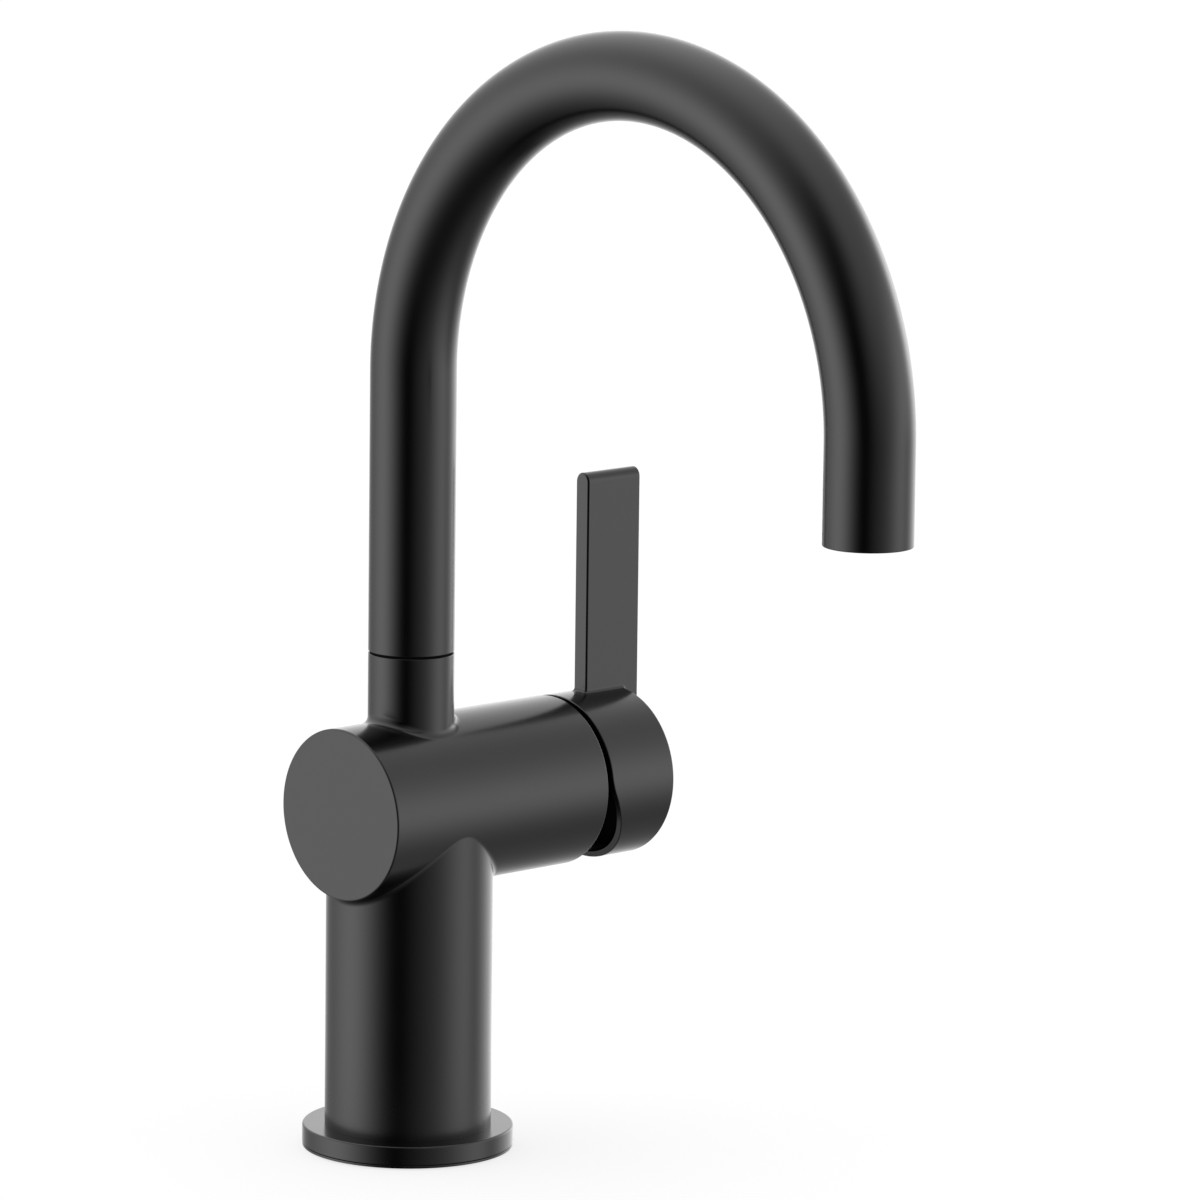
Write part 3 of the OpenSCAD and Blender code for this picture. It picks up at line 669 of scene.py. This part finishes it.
def evaluated_mesh(holder):
    """The mesh that an object has with its modifiers, and the object is gone."""
    bpy.context.view_layer.update()
    graph = bpy.context.evaluated_depsgraph_get()
    mesh = bpy.data.meshes.new_from_object(holder.evaluated_get(graph))
    bpy.data.objects.remove(holder)
    return mesh


def place_holder(mesh):
    holder = bpy.data.objects.new("work", mesh)
    bpy.context.scene.collection.objects.link(holder)
    return holder


def combine(operation, base, *tools):
    """The mesh of base with the tools joined to it or cut from it."""
    holder = place_holder(base)
    helpers = []
    for tool in tools:
        helper = place_holder(tool)
        helpers.append(helper)
        change = holder.modifiers.new("combine", "BOOLEAN")
        change.operation = operation
        change.solver = "EXACT"
        change.object = helper
    mesh = evaluated_mesh(holder)
    for helper in helpers:
        bpy.data.objects.remove(helper)
    if not mesh.polygons:
        raise RuntimeError(f"{operation} left nothing of {base.name}")
    return mesh


def places(mesh):
    points = np.empty(3 * len(mesh.vertices))
    mesh.vertices.foreach_get("co", points)
    return points.reshape(-1, 3)


def set_places(mesh, points):
    mesh.vertices.foreach_set("co", points.ravel())
    mesh.update()


def triangles(mesh):
    """The points and the triangles of a mesh."""
    shape = bmesh.new()
    shape.from_mesh(mesh)
    bmesh.ops.triangulate(shape, faces=shape.faces)
    points = np.array([vertex.co for vertex in shape.verts])
    corners = [[vertex.index for vertex in face.verts] for face in shape.faces]
    shape.free()
    return points, np.array(corners)


def divided(points, corners, middles):
    """Triangles split at the middles of their edges; -1 leaves an edge whole."""
    count = (middles >= 0).sum(axis=1)
    lowest, highest = np.argmin(middles, axis=1), np.argmax(middles, axis=1)
    turn = np.where(count == 2, lowest + 1, highest)
    order = (np.arange(3) + turn[:, None]) % 3
    corners = np.take_along_axis(corners, order, axis=1)
    middles = np.take_along_axis(middles, order, axis=1)
    pieces = [corners[count == 0]]
    (a, b, c), m = corners[count == 1].T, middles[count == 1].T[0]
    pieces += [np.stack(face, axis=1) for face in ((m, b, c), (a, m, c))]
    (a, b, c), (m, n) = corners[count == 2].T, middles[count == 2].T[:2]
    ahead = np.linalg.norm(points[a] - points[n], axis=1)
    short = ahead < np.linalg.norm(points[m] - points[c], axis=1)
    pieces.append(np.stack((m, b, n), axis=1))
    pieces.append(np.stack((a, m, np.where(short, n, c)), axis=1))
    pieces.append(np.stack((np.where(short, a, m), n, c), axis=1))
    (a, b, c), (m, n, o) = corners[count == 3].T, middles[count == 3].T
    faces = (a, m, o), (m, b, n), (o, n, c), (m, n, o)
    pieces += [np.stack(face, axis=1) for face in faces]
    return np.concatenate(pieces)


def refine(mesh, seams):
    """A mesh whose edges in each seam's round are short enough to carry it."""
    points, corners = triangles(mesh)
    for seam in seams:
        longest = min(FINE, abs(seam[2]) / EDGES_ACROSS)
        for _ in range(SPLIT_PASSES):
            near = np.zeros(len(points), dtype=bool)
            near[roll_ball(points, *seam)[0]] = True
            sides = corners[:, [[0, 1], [1, 2], [2, 0]]].reshape(-1, 2)
            sides = np.sort(sides, axis=1)
            edges, place = np.unique(sides, axis=0, return_inverse=True)
            ends = points[edges]
            split = near[edges].any(axis=1)
            split &= np.linalg.norm(ends[:, 0] - ends[:, 1], axis=1) > longest
            if not split.any():
                break
            middles = np.where(split, len(points) + np.cumsum(split) - 1, -1)
            points = np.concatenate((points, ends[split].mean(axis=1)))
            corners = divided(points, corners, middles[place].reshape(-1, 3))
    return new_mesh(mesh.name, points, corners.tolist())


def roll_ball(points, first, second, radius):
    """Where a ball rolling along a seam would leave the surface.

    The ball touches both solids from outside, or from inside if its radius is negative.
    Returns the points that it moves, their new places and the normals there.
    """
    side = math.copysign(1.0, radius)
    span = abs(radius)
    ahead, beside = side * first(points), side * second(points)
    near = np.minimum(ahead, beside) > -ON_SKIN
    near &= np.maximum(ahead, beside) < BALL_REACH * span
    picked = np.flatnonzero(near)
    at = points[picked]
    centre = at + radius * unit(gradient(first, at) + gradient(second, at))
    for _ in range(BALL_STEPS):
        up, out = gradient(first, centre), gradient(second, centre)
        along = unit(np.cross(up, out))
        off = dot(at - centre, along)
        wanted = (radius - first(centre), radius - second(centre), off)
        wanted = np.stack(wanted, axis=1)[..., None]
        system = np.stack((up, out, along), axis=1) + NEARLY_ZERO * np.eye(3)
        centre = centre + np.linalg.solve(system, wanted)[..., 0]
    up, out = gradient(first, centre), gradient(second, centre)
    arm = -side * (at - centre)
    lean = dot(up, out)
    share = np.maximum(1 - lean * lean, NEARLY_ZERO)
    on_first = (dot(arm, up) - lean * dot(arm, out)) / share
    on_second = (dot(arm, out) - lean * dot(arm, up)) / share
    between = (on_first > -NEARLY_ZERO) & (on_second > -NEARLY_ZERO)
    between &= np.abs(first(centre) - radius) < ON_SKIN
    normals = unit(arm)[between]
    return picked[between], centre[between] - side * span * normals, normals


def round_seams(mesh, seams):
    """A mesh with the round in each seam."""
    mesh = refine(mesh, seams)
    points = places(mesh)
    for first, second, radius in seams:
        picked, moved_to, _ = roll_ball(points, first, second, radius)
        points[picked] = moved_to
    set_places(mesh, points)
    return mesh


def shade(mesh, skin, seams=()):
    """Smooth shading, with the skin's exact normals where the mesh lies on it."""
    mesh.shade_smooth()
    mesh.set_sharp_from_angle(angle=SMOOTH_ANGLE)
    points = places(mesh)
    normals = gradient(skin, points)
    exact = np.abs(skin(points)) < ON_SKIN
    for first, second, radius in seams:
        picked, moved_to, leaning = roll_ball(points, first, second, radius)
        close = np.linalg.norm(moved_to - points[picked], axis=1) < ON_SKIN
        normals[picked[close]] = leaning[close]
        exact[picked[close]] = True
    corners = np.empty(len(mesh.loops), dtype=int)
    mesh.loops.foreach_get("vertex_index", corners)
    facing = np.empty(3 * len(mesh.polygons))
    mesh.polygons.foreach_get("normal", facing)
    counts = np.empty(len(mesh.polygons), dtype=int)
    mesh.polygons.foreach_get("loop_total", counts)
    facing = np.repeat(facing.reshape(-1, 3), counts, axis=0)
    aligned = dot(facing, normals[corners]) > AGREED
    kept = np.where((exact[corners] & aligned)[:, None], normals[corners], 0.0)
    mesh.normals_split_custom_set([tuple(normal) for normal in kept])


def add_piece(name, mesh, body, nodes, slot, material, *inner):
    """Puts a finished mesh in the scene in place of its CAD nodes."""
    mesh.name = name
    mesh.materials.clear()
    for layer in (material, *inner):
        mesh.materials.append(layer)
    piece = bpy.data.objects.new(name, mesh)
    bpy.context.scene.collection.objects.link(piece)
    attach(piece, body)
    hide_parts(*nodes)
    return piece


# ---------------------------------------------------------------- pieces


class FAUCET_OT_casting(bpy.types.Operator):
    """Makes the body casting: column, cross barrel and neck, blended by fillets"""

    bl_idname = "faucet.casting"
    bl_label = "Cast the body"

    def execute(self, context):
        sizes = context.scene.faucet_body
        axis = sizes.barrel_height
        column = Bar("z", sizes.column_radius, sizes.flange_top, axis)
        ends = sizes.barrel_closed, sizes.barrel_open
        barrel = Bar("x", sizes.barrel_radius, *ends, sizes.rim, sizes.rim, axis)
        neck = Bar("z", sizes.neck_radius, axis, sizes.neck_top, 0.0, sizes.neck_rim)
        seams = [
            (column.distance, barrel.distance, sizes.fillet),
            (neck.distance, barrel.distance, sizes.neck_fillet),
        ]
        mesh = combine("UNION", barrel.mesh(), column.mesh(), neck.mesh())
        inside = sizes.barrel_closed + sizes.barrel_wall
        top = sizes.neck_top
        bores = (
            Bar("z", sizes.column_bore, sizes.flange_top - CLEAR, axis),
            Bar("x", sizes.barrel_bore, inside, sizes.barrel_open + CLEAR, centre=axis),
            Bar("z", sizes.post_hole, axis, top + CLEAR),
            Bar("z", sizes.collar_hole, top - sizes.collar_depth, top + CLEAR),
        )
        mesh = combine("DIFFERENCE", mesh, *(bore.mesh() for bore in bores))
        mesh = round_seams(mesh, seams)

        def skin(points):
            solids = column, barrel, neck
            return np.minimum.reduce([solid.distance(points) for solid in solids])

        shade(mesh, skin, seams)
        coat = coat_material(context.scene.faucet_finishes, drier_foot=True)
        add_piece("casting", mesh, "body", ["body_casting"], "satin_black", coat)
        return {"FINISHED"}


class FAUCET_OT_flange(bpy.types.Operator):
    """Turns the base flange with its sole, crease, spigot and gasket groove"""

    bl_idname = "faucet.flange"
    bl_label = "Turn the flange"

    def execute(self, context):
        sizes = context.scene.faucet_body
        outer, low, top = sizes.flange_radius, sizes.flange_low, sizes.flange_top
        edge = sizes.rim
        groove = sizes.gasket_depth
        sole = outer - sizes.sole_step
        crease = low + sizes.sole_height + sizes.crease_width
        inmost = outer - sizes.crease_depth
        outline = rim(sole, low, sizes.sole_rim, False)
        outline += rim(sole, low + sizes.sole_height, sizes.sole_rim, True)
        outline += [(inmost, low + sizes.sole_height), (inmost, crease)]
        outline += rim(outer, crease, sizes.sole_rim, False)
        side = stretch(crease + sizes.sole_rim, top - edge)[1:-1]
        outline += [(outer, at) for at in side]
        outline += rim(outer, top, edge, True)
        face = stretch(sizes.spigot_radius, outer - edge)[-2:0:-1]
        outline += [(at, top) for at in face]
        outline += [
            (sizes.spigot_radius, top),
            (sizes.spigot_radius, sizes.spigot_top),
            (sizes.flange_bore, sizes.spigot_top),
            (sizes.flange_bore, low),
            (sizes.gasket_inner, low),
            (sizes.gasket_inner, groove),
            (sizes.gasket_outer, groove),
            (sizes.gasket_outer, low),
        ]
        mesh = turned("flange", outline, ring=True)
        shade(mesh, Bar("z", outer, crease, top, sizes.sole_rim, edge).distance)
        coat = coat_material(context.scene.faucet_finishes)
        add_piece("flange", mesh, "body", ["base_flange"], "satin_black", coat)
        return {"FINISHED"}


def spout_tree(material):
    """Geometry nodes that bend a line to the spout's path and sweep the tube on it."""
    group = bpy.data.node_groups.new("bent_tube", "GeometryNodeTree")
    tree = Tree(group)
    names = ("Tube radius", "Arch radius", "Foot", "Arch height", "Outlet")
    sockets = group.interface
    sockets.new_socket("Geometry", in_out="OUTPUT", socket_type="NodeSocketGeometry")
    for name in names:
        sockets.new_socket(name, in_out="INPUT", socket_type="NodeSocketFloat")
    given = group.nodes.new("NodeGroupInput")
    values = [Value(tree, given.outputs[name]) for name in names]
    tube, arch, foot, height, outlet = values
    rise = height - foot
    bend = math.pi * arch
    fall = height - outlet
    share = tree.node("GeometryNodeSplineParameter", output="Factor")
    walked = share * (rise + bend + fall)
    turn = ((walked - rise) / arch).math("MAXIMUM", 0.0).math("MINIMUM", math.pi)
    climb = walked.math("MINIMUM", rise)
    drop = (walked - rise - bend).math("MAXIMUM", 0.0)
    forward = arch * turn.math("COSINE") - arch
    up = foot + climb + arch * turn.math("SINE") - drop
    place = tree.node("ShaderNodeCombineXYZ", None, (0.0, forward, up))
    line = tree.node("GeometryNodeCurvePrimitiveLine")
    inputs = {"Curve": line, "Count": PATH_POINTS}
    line = tree.node("GeometryNodeResampleCurve", None, inputs)
    inputs = {"Geometry": line, "Position": place}
    path = tree.node("GeometryNodeSetPosition", None, inputs)
    inputs = {"Resolution": TUBE_SIDES, "Radius": tube}
    ring = tree.node("GeometryNodeCurvePrimitiveCircle", None, inputs)
    inputs = {"Curve": path, "Profile Curve": ring, "Fill Caps": False}
    mesh = tree.node("GeometryNodeCurveToMesh", None, inputs)
    mesh = tree.node("GeometryNodeRealizeInstances", None, (mesh,))
    inputs = {"Geometry": mesh, "Material": material}
    mesh = tree.node("GeometryNodeSetMaterial", None, inputs)
    tree.node("NodeGroupOutput", None, (mesh,))
    return group


class FAUCET_OT_spout(bpy.types.Operator):
    """Bends the gooseneck tube, gives it its wall and drills its screw hole"""

    bl_idname = "faucet.spout"
    bl_label = "Bend the spout"

    def execute(self, context):
        sizes = context.scene.faucet_spout

        def skin(points):
            """Distance from the outside of the tube."""
            x, y, z = points.T
            bend, up = sizes.arch_radius, z - sizes.arch_height
            over = np.hypot(y + bend, up) - bend
            legs = np.abs(y + bend) - bend
            return np.hypot(x, np.where(up > 0, over, legs)) - sizes.radius

        coat = coat_material(context.scene.faucet_finishes)
        group = spout_tree(coat)
        holder = place_holder(bpy.data.meshes.new("tube"))
        bend = holder.modifiers.new("bend", "NODES")
        bend.node_group = group
        values = {
            "Tube radius": sizes.radius,
            "Arch radius": sizes.arch_radius,
            "Foot": sizes.foot,
            "Arch height": sizes.arch_height,
            "Outlet": sizes.outlet,
        }
        for item in group.interface.items_tree:
            if item.in_out == "INPUT":
                bend[item.identifier] = values[item.name]
        mesh = evaluated_mesh(holder)
        shape = bmesh.new()
        shape.from_mesh(mesh)
        wall = place_holder(mesh)
        facing = np.array([face.normal for face in shape.faces])
        middles = np.array([face.calc_center_median() for face in shape.faces])
        if dot(facing, gradient(skin, middles)).sum() < 0:
            bmesh.ops.reverse_faces(shape, faces=shape.faces)
            shape.to_mesh(mesh)
        shape.free()
        thicken = wall.modifiers.new("wall", "SOLIDIFY")
        thicken.thickness = sizes.wall
        thicken.offset = -1.0
        ends = wall.modifiers.new("ends", "BEVEL")
        ends.width = sizes.rim
        ends.segments = TUBE_END_SEGMENTS
        ends.limit_method = "ANGLE"
        ends.angle_limit = TUBE_END_ANGLE
        mesh = evaluated_mesh(wall)
        depth = sizes.radius - DRILL_DEPTH, sizes.radius + CLEAR
        backwards = Matrix.Rotation(math.radians(-90), 4, "X")
        lift = Matrix.Translation((0, 0, sizes.screw_height))
        drill = moved(Bar("z", sizes.screw_hole, *depth).mesh(), backwards, lift)
        mesh = combine("DIFFERENCE", mesh, drill)
        shade(mesh, skin)
        add_piece("gooseneck", mesh, "spout", ["spout_tube"], "satin_black", coat)
        return {"FINISHED"}


class FAUCET_OT_lever(bpy.types.Operator):
    """Makes the lever: hub with its relief, blade, inner boss and screw hole"""

    bl_idname = "faucet.lever"
    bl_label = "Shape the lever"

    def execute(self, context):
        sizes = context.scene.faucet_lever
        axis = context.scene.faucet_body.barrel_height
        start, floor, end = sizes.hub_start, sizes.hub_floor, sizes.hub_end
        hub = Bar("x", sizes.hub_radius, start - HUB_SPARE, end, 0.0, sizes.rim, axis)
        blade = Blade(
            sizes.blade_start,
            sizes.blade_end,
            sizes.blade_half,
            axis,
            sizes.blade_top,
            sizes.blade_bevel,
            sizes.blade_edge,
        )
        foot = [(blade.distance, hub.distance, sizes.fillet)]
        mesh = combine("UNION", hub.mesh(), blade.mesh())
        hollow = Bar("x", sizes.hub_bore, start - CUT_SPARE, floor, centre=axis)
        mesh = combine("DIFFERENCE", mesh, hollow.mesh(), self.relief_tool(sizes, axis))

        def past_rim(points):
            return self.past_rim(points, sizes, axis)

        edge = [(hub.distance, past_rim, -sizes.relief_rim)]
        ends = sizes.boss_start, (floor + end) / 2
        boss = Bar("x", sizes.boss_radius, *ends, centre=axis)
        mesh = combine("UNION", mesh, boss.mesh())
        half = sizes.socket_half
        socket = block(
            "socket",
            (sizes.boss_start - CLEAR, -half, axis - half),
            (sizes.socket_end, half, axis + half),
        )
        below = axis - sizes.hub_radius - CLEAR
        shift = Matrix.Translation((sizes.screw_place, 0, 0))
        plug = Bar("z", sizes.plug_hole, below, axis - sizes.boss_radius - MM)
        screw = Bar("z", sizes.screw_hole, below, axis)
        tools = [moved(hole.mesh(), shift) for hole in (plug, screw)]
        mesh = combine("DIFFERENCE", mesh, socket, *tools)
        mesh = round_seams(mesh, foot + edge)

        def skin(points):
            solid = np.minimum(hub.distance(points), blade.distance(points))
            return np.maximum(solid, past_rim(points))

        shade(mesh, skin, foot + edge)
        finishes = context.scene.faucet_finishes
        coat = coat_material(finishes)
        # Matt black for the hub's hollow: painted shade
        hollow_shade = matt_material("bare_black_hollow", tuple(finishes.bare_black))
        looks = "satin_black", coat, hollow_shade
        piece = add_piece("lever_handle", mesh, "lever", ["handle"], *looks)
        # Faces inside the hub's bore take the matt black, painted shade for the hollow
        for face in piece.data.polygons:
            x, y, z = face.center
            within = math.hypot(y, z - axis) < sizes.hub_bore + BORE_MARGIN
            face.material_index = int(within and x < floor + MM)
        return {"FINISHED"}

    @staticmethod
    def relief_points(sizes, axis):
        """Side view (x, z) of the hub's open edge, from the top down."""
        radius, slope = sizes.relief_radius, sizes.relief_slope
        high = axis + sizes.relief_start + radius * math.tan(slope / 2)
        turns = np.linspace(0, slope, ARC_POINTS)
        points = [
            (sizes.hub_start + radius * (1 - math.cos(a)), high - radius * math.sin(a))
            for a in turns
        ]
        drop = points[-1][1] - (axis - sizes.hub_radius - CLEAR)
        last = points[-1]
        points.append((last[0] + drop * math.tan(slope), last[1] - drop))
        return [(sizes.hub_start, axis + sizes.hub_radius + CLEAR)] + points

    def relief_tool(self, sizes, axis):
        """What is cut away before that edge, through the hub's whole width."""
        edge = self.relief_points(sizes, axis)
        before = sizes.hub_start - CUT_SPARE
        outline = edge + [(before, edge[-1][1]), (before, edge[0][1])]
        width = sizes.hub_radius + CLEAR
        count = len(outline)
        points = [(x, side * width, z) for side in (-1, 1) for x, z in outline]
        faces = [list(range(count)), list(range(count, 2 * count))[::-1]]
        for here in range(count):
            there = (here + 1) % count
            faces.append([there, here, here + count, there + count])
        mesh = new_mesh("relief", points, faces)
        shape = bmesh.new()
        shape.from_mesh(mesh)
        bmesh.ops.recalc_face_normals(shape, faces=shape.faces)
        shape.to_mesh(mesh)
        shape.free()
        return mesh

    @staticmethod
    def past_rim(points, sizes, axis):
        """How far a point is on the open side of the hub's edge."""
        x, _, z = points.T
        radius, slope = sizes.relief_radius, sizes.relief_slope
        high = axis + sizes.relief_start + radius * math.tan(slope / 2)
        across, up = x - (sizes.hub_start + radius), z - high
        turn = np.clip(np.arctan2(-up, -across), 0.0, slope)
        turn = np.where(up > 0, 0.0, turn)
        within = (turn > 0) & (turn < slope)
        flat = -across * np.cos(turn) - up * np.sin(turn)
        return np.where(within, np.hypot(across, up), flat) - radius


FINISHED_NODES = {
    "coat": ("outlet_sleeve",),
    "brass_z": ("base_block", "spout_post", "spout_sleeve"),
    "brass_x": ("valve_block", "cartridge_nut"),
    "copper": ("hot_riser", "cold_riser"),
    "steel_x": ("stem",),
    "steel_y": ("stem_pin", "swivel_screw"),
    "steel_z": ("handle_screw",),
    "rubber": (
        "deck_gasket",
        "riser_seals",
        "port_seals",
        "post_seal",
        "post_o_rings",
        "aerator_washer",
    ),
    "black_plastic": ("disc_carrier", "rotor", "aerator_housing", "screw_plug"),
    "grey_plastic": ("cartridge_base", "cartridge_housing", "aerator_screen"),
    "white_plastic": ("lower_bushing", "upper_bushing", "aerator_core"),
    "red_plastic": ("temperature_stop",),
    "ceramic": ("fixed_disc", "moving_disc"),
    # Black parts in the joint gaps, made near-black and barely reflecting: partly their
    # real colour, partly painted shade
    "bare_black": ("bonnet_ring", "swivel_washer"),
}


class FAUCET_OT_inner_parts(bpy.types.Operator):
    """Finishes the parts that keep their CAD shape: valve, swivel, aerator, screws"""

    bl_idname = "faucet.inner_parts"
    bl_label = "Finish the inner parts"

    def execute(self, context):
        finishes = context.scene.faucet_finishes
        brass, steel = tuple(finishes.brass), tuple(finishes.steel)
        clean = {"roughness": 0.26, "tarnish": 0.05}
        dull = {"roughness": 0.7, "grain": 900.0, "depth": 1e-5}
        made = {
            "coat": coat_material(finishes),
            "brass_z": metal_material("turned_brass_upright", brass, 2),
            "brass_x": metal_material("turned_brass_level", brass, 0),
            "copper": drawn_material("drawn_copper", tuple(finishes.copper)),
            "steel_x": metal_material("turned_steel_level", steel, 0, **clean),
            "steel_y": metal_material("turned_steel_cross", steel, 1, **clean),
            "steel_z": metal_material("turned_steel_upright", steel, 2, **clean),
            "rubber": moulded_material("rubber", tuple(finishes.rubber), **dull),
            "ceramic": ceramic_material("lapped_ceramic", tuple(finishes.ceramic)),
            # Painted shade on the black parts in the joint gaps
            "bare_black": matt_material("bare_black", tuple(finishes.bare_black)),
        }
        for name in ("black_plastic", "grey_plastic", "white_plastic", "red_plastic"):
            made[name] = moulded_material(name, tuple(getattr(finishes, name)))
        for finish, names in FINISHED_NODES.items():
            for name in names:
                for slot in frame["nodes"][name].material_slots:
                    slot.material = made[finish]
        return {"FINISHED"}


# ---------------------------------------------------------------- stage

# Camera: places in metres, angles in degrees, lens and sensor in millimetres. Its place,
# angles and lens come from a least-squares fit to the photo's outlines.
CAMERA_PLACE = (-1.45385, -1.60601, 0.54016)
CAMERA_AZIMUTH = 43.609
CAMERA_PITCH = 9.845
CAMERA_ROLL = 0.70
CAMERA_LENS = 225.45
CAMERA_SENSOR = 36.0
CAMERA_SIGHT = 50.0
FLOOR_REACH = 6.0
WHITE = (1.0, 1.0, 1.0, 1.0)
# Each soft light and flag: azimuth, elevation and how narrow it is. These and their
# strengths in StageLights are a program's least-squares fit to the photo's brightness.
SOFT_LIGHTS = {
    "left": (-58.0, -5.0, 4.9),
    "right": (129.0, -13.0, 5.2),
    "top": (13.0, 59.0, 3.0),
    "side": (86.0, 7.0, 28.7),
    "backdrop": (54.0, -4.0, 7.6),
    "fill": (200.0, 49.0, 2.3),
}
FLAGS = {
    "low_flag": (124.0, -24.0, 10.0),
    "right_flag": (119.0, -13.0, 40.7),
    "camera_flag": (-112.0, 10.0, 5.0),
    "high_flag": (-131.0, 47.0, 10.9),
}


def heading(azimuth, elevation):
    """The direction of an azimuth from +Y towards +X and an elevation, in degrees."""
    turn, rise = math.radians(azimuth), math.radians(elevation)
    level = math.cos(rise)
    return (math.sin(turn) * level, math.cos(turn) * level, math.sin(rise))


class FAUCET_OT_stage(bpy.types.Operator):
    """Sets the pale floor, the soft lights, the white surroundings and the camera"""

    bl_idname = "faucet.stage"
    bl_label = "Set the stage"

    def execute(self, context):
        lights = context.scene.faucet_stage
        self.set_surroundings(context.scene, lights)
        self.lay_floor(context.scene, lights)
        self.set_camera(context.scene)
        context.scene.view_settings.view_transform = "Standard"
        return {"FINISHED"}

    @staticmethod
    def set_surroundings(scene, lights):
        world = bpy.data.worlds.new("studio")
        scene.world = world
        world.use_nodes = True
        world.node_tree.nodes.clear()
        tree = Tree(world.node_tree)
        towards = tree.node("ShaderNodeTexCoord", output="Generated")

        def patch(name, light):
            azimuth, elevation, narrow = light
            settings = {"operation": "DOT_PRODUCT"}
            pair = (towards, heading(azimuth, elevation))
            facing = tree.node("ShaderNodeVectorMath", settings, pair, "Value")
            return getattr(lights, name) * ((facing - 1.0) * narrow).math("EXPONENT")

        glow = sum(patch(*pair) for pair in SOFT_LIGHTS.items())
        dark = sum(patch(*pair) for pair in FLAGS.items())
        glow = (glow - dark).math("MAXIMUM", 0.0)
        seen = tree.node("ShaderNodeLightPath", output="Is Camera Ray")
        strength = seen + (1 - seen) * glow
        shader = tree.node("ShaderNodeBackground", None, (WHITE, strength))
        tree.node("ShaderNodeOutputWorld", None, (shader,))

    @staticmethod
    def lay_floor(scene, lights):
        signs = (-1, -1), (1, -1), (1, 1), (-1, 1)
        corners = [(x * FLOOR_REACH, y * FLOOR_REACH, 0) for x, y in signs]
        mesh = new_mesh("floor", corners, [[0, 1, 2, 3]])
        floor = bpy.data.objects.new("floor", mesh)
        scene.collection.objects.link(floor)
        floor.visible_glossy = False
        tree = new_material("pale_floor")
        tint = (*lights.floor, 1.0)
        matt = tree.node("ShaderNodeBsdfDiffuse", None, {"Color": tint})
        white = tree.node("ShaderNodeEmission", None, {"Color": WHITE})
        pale = tree.node("ShaderNodeMixShader", None, (lights.floor_glow, matt, white))
        clear = tree.node("ShaderNodeBsdfTransparent")
        below = tree.node("ShaderNodeNewGeometry", output="Backfacing")
        shader = tree.node("ShaderNodeMixShader", None, (below, pale, clear))
        tree.node("ShaderNodeOutputMaterial", None, (shader,))
        mesh.materials.append(tree.material)

    @staticmethod
    def set_camera(scene):
        azimuth, roll = math.radians(CAMERA_AZIMUTH), math.radians(CAMERA_ROLL)
        ahead = Vector(heading(CAMERA_AZIMUTH, -CAMERA_PITCH))
        right = Vector((math.cos(azimuth), -math.sin(azimuth), 0))
        up = right.cross(ahead)
        across = math.cos(roll) * right + math.sin(roll) * up
        upright = math.cos(roll) * up - math.sin(roll) * right
        turn = Matrix((across, upright, -ahead)).transposed().to_4x4()
        camera = bpy.data.objects.new("camera", bpy.data.cameras.new("camera"))
        camera.matrix_world = Matrix.Translation(CAMERA_PLACE) @ turn
        camera.data.sensor_width = CAMERA_SENSOR
        camera.data.lens = CAMERA_LENS
        camera.data.clip_end = CAMERA_SIGHT
        scene.collection.objects.link(camera)
        scene.camera = camera


# ---------------------------------------------------------------- add-on

OPERATORS = (
    FAUCET_OT_flange,
    FAUCET_OT_casting,
    FAUCET_OT_spout,
    FAUCET_OT_lever,
    FAUCET_OT_inner_parts,
    FAUCET_OT_stage,
)
GROUPS = {
    "faucet_body": BodySizes,
    "faucet_spout": SpoutSizes,
    "faucet_lever": LeverSizes,
    "faucet_finishes": Finishes,
    "faucet_stage": StageLights,
}


class FAUCET_PT_panel(bpy.types.Panel):
    """Lists the faucet's pieces and settings in the sidebar"""

    bl_idname = "FAUCET_PT_panel"
    bl_label = "Faucet"
    bl_space_type = "VIEW_3D"
    bl_region_type = "UI"
    bl_category = "Faucet"

    def draw(self, context):
        for operator in OPERATORS:
            self.layout.operator(operator.bl_idname)
        for name, group in GROUPS.items():
            box = self.layout.box()
            box.label(text=group.__doc__)
            for key in group.__annotations__:
                box.prop(getattr(context.scene, name), key)


def register():
    for group in GROUPS.values():
        bpy.utils.register_class(group)
    for name, group in GROUPS.items():
        setattr(bpy.types.Scene, name, PointerProperty(type=group))
    for operator in OPERATORS:
        bpy.utils.register_class(operator)
    bpy.utils.register_class(FAUCET_PT_panel)


def unregister():
    bpy.utils.unregister_class(FAUCET_PT_panel)
    for operator in reversed(OPERATORS):
        bpy.utils.unregister_class(operator)
    for name, group in GROUPS.items():
        delattr(bpy.types.Scene, name)
        bpy.utils.unregister_class(group)


def main():
    register()
    for operator in OPERATORS:
        group, name = operator.bl_idname.split(".")
        getattr(getattr(bpy.ops, group), name)()


if __name__ == "__main__":
    main()
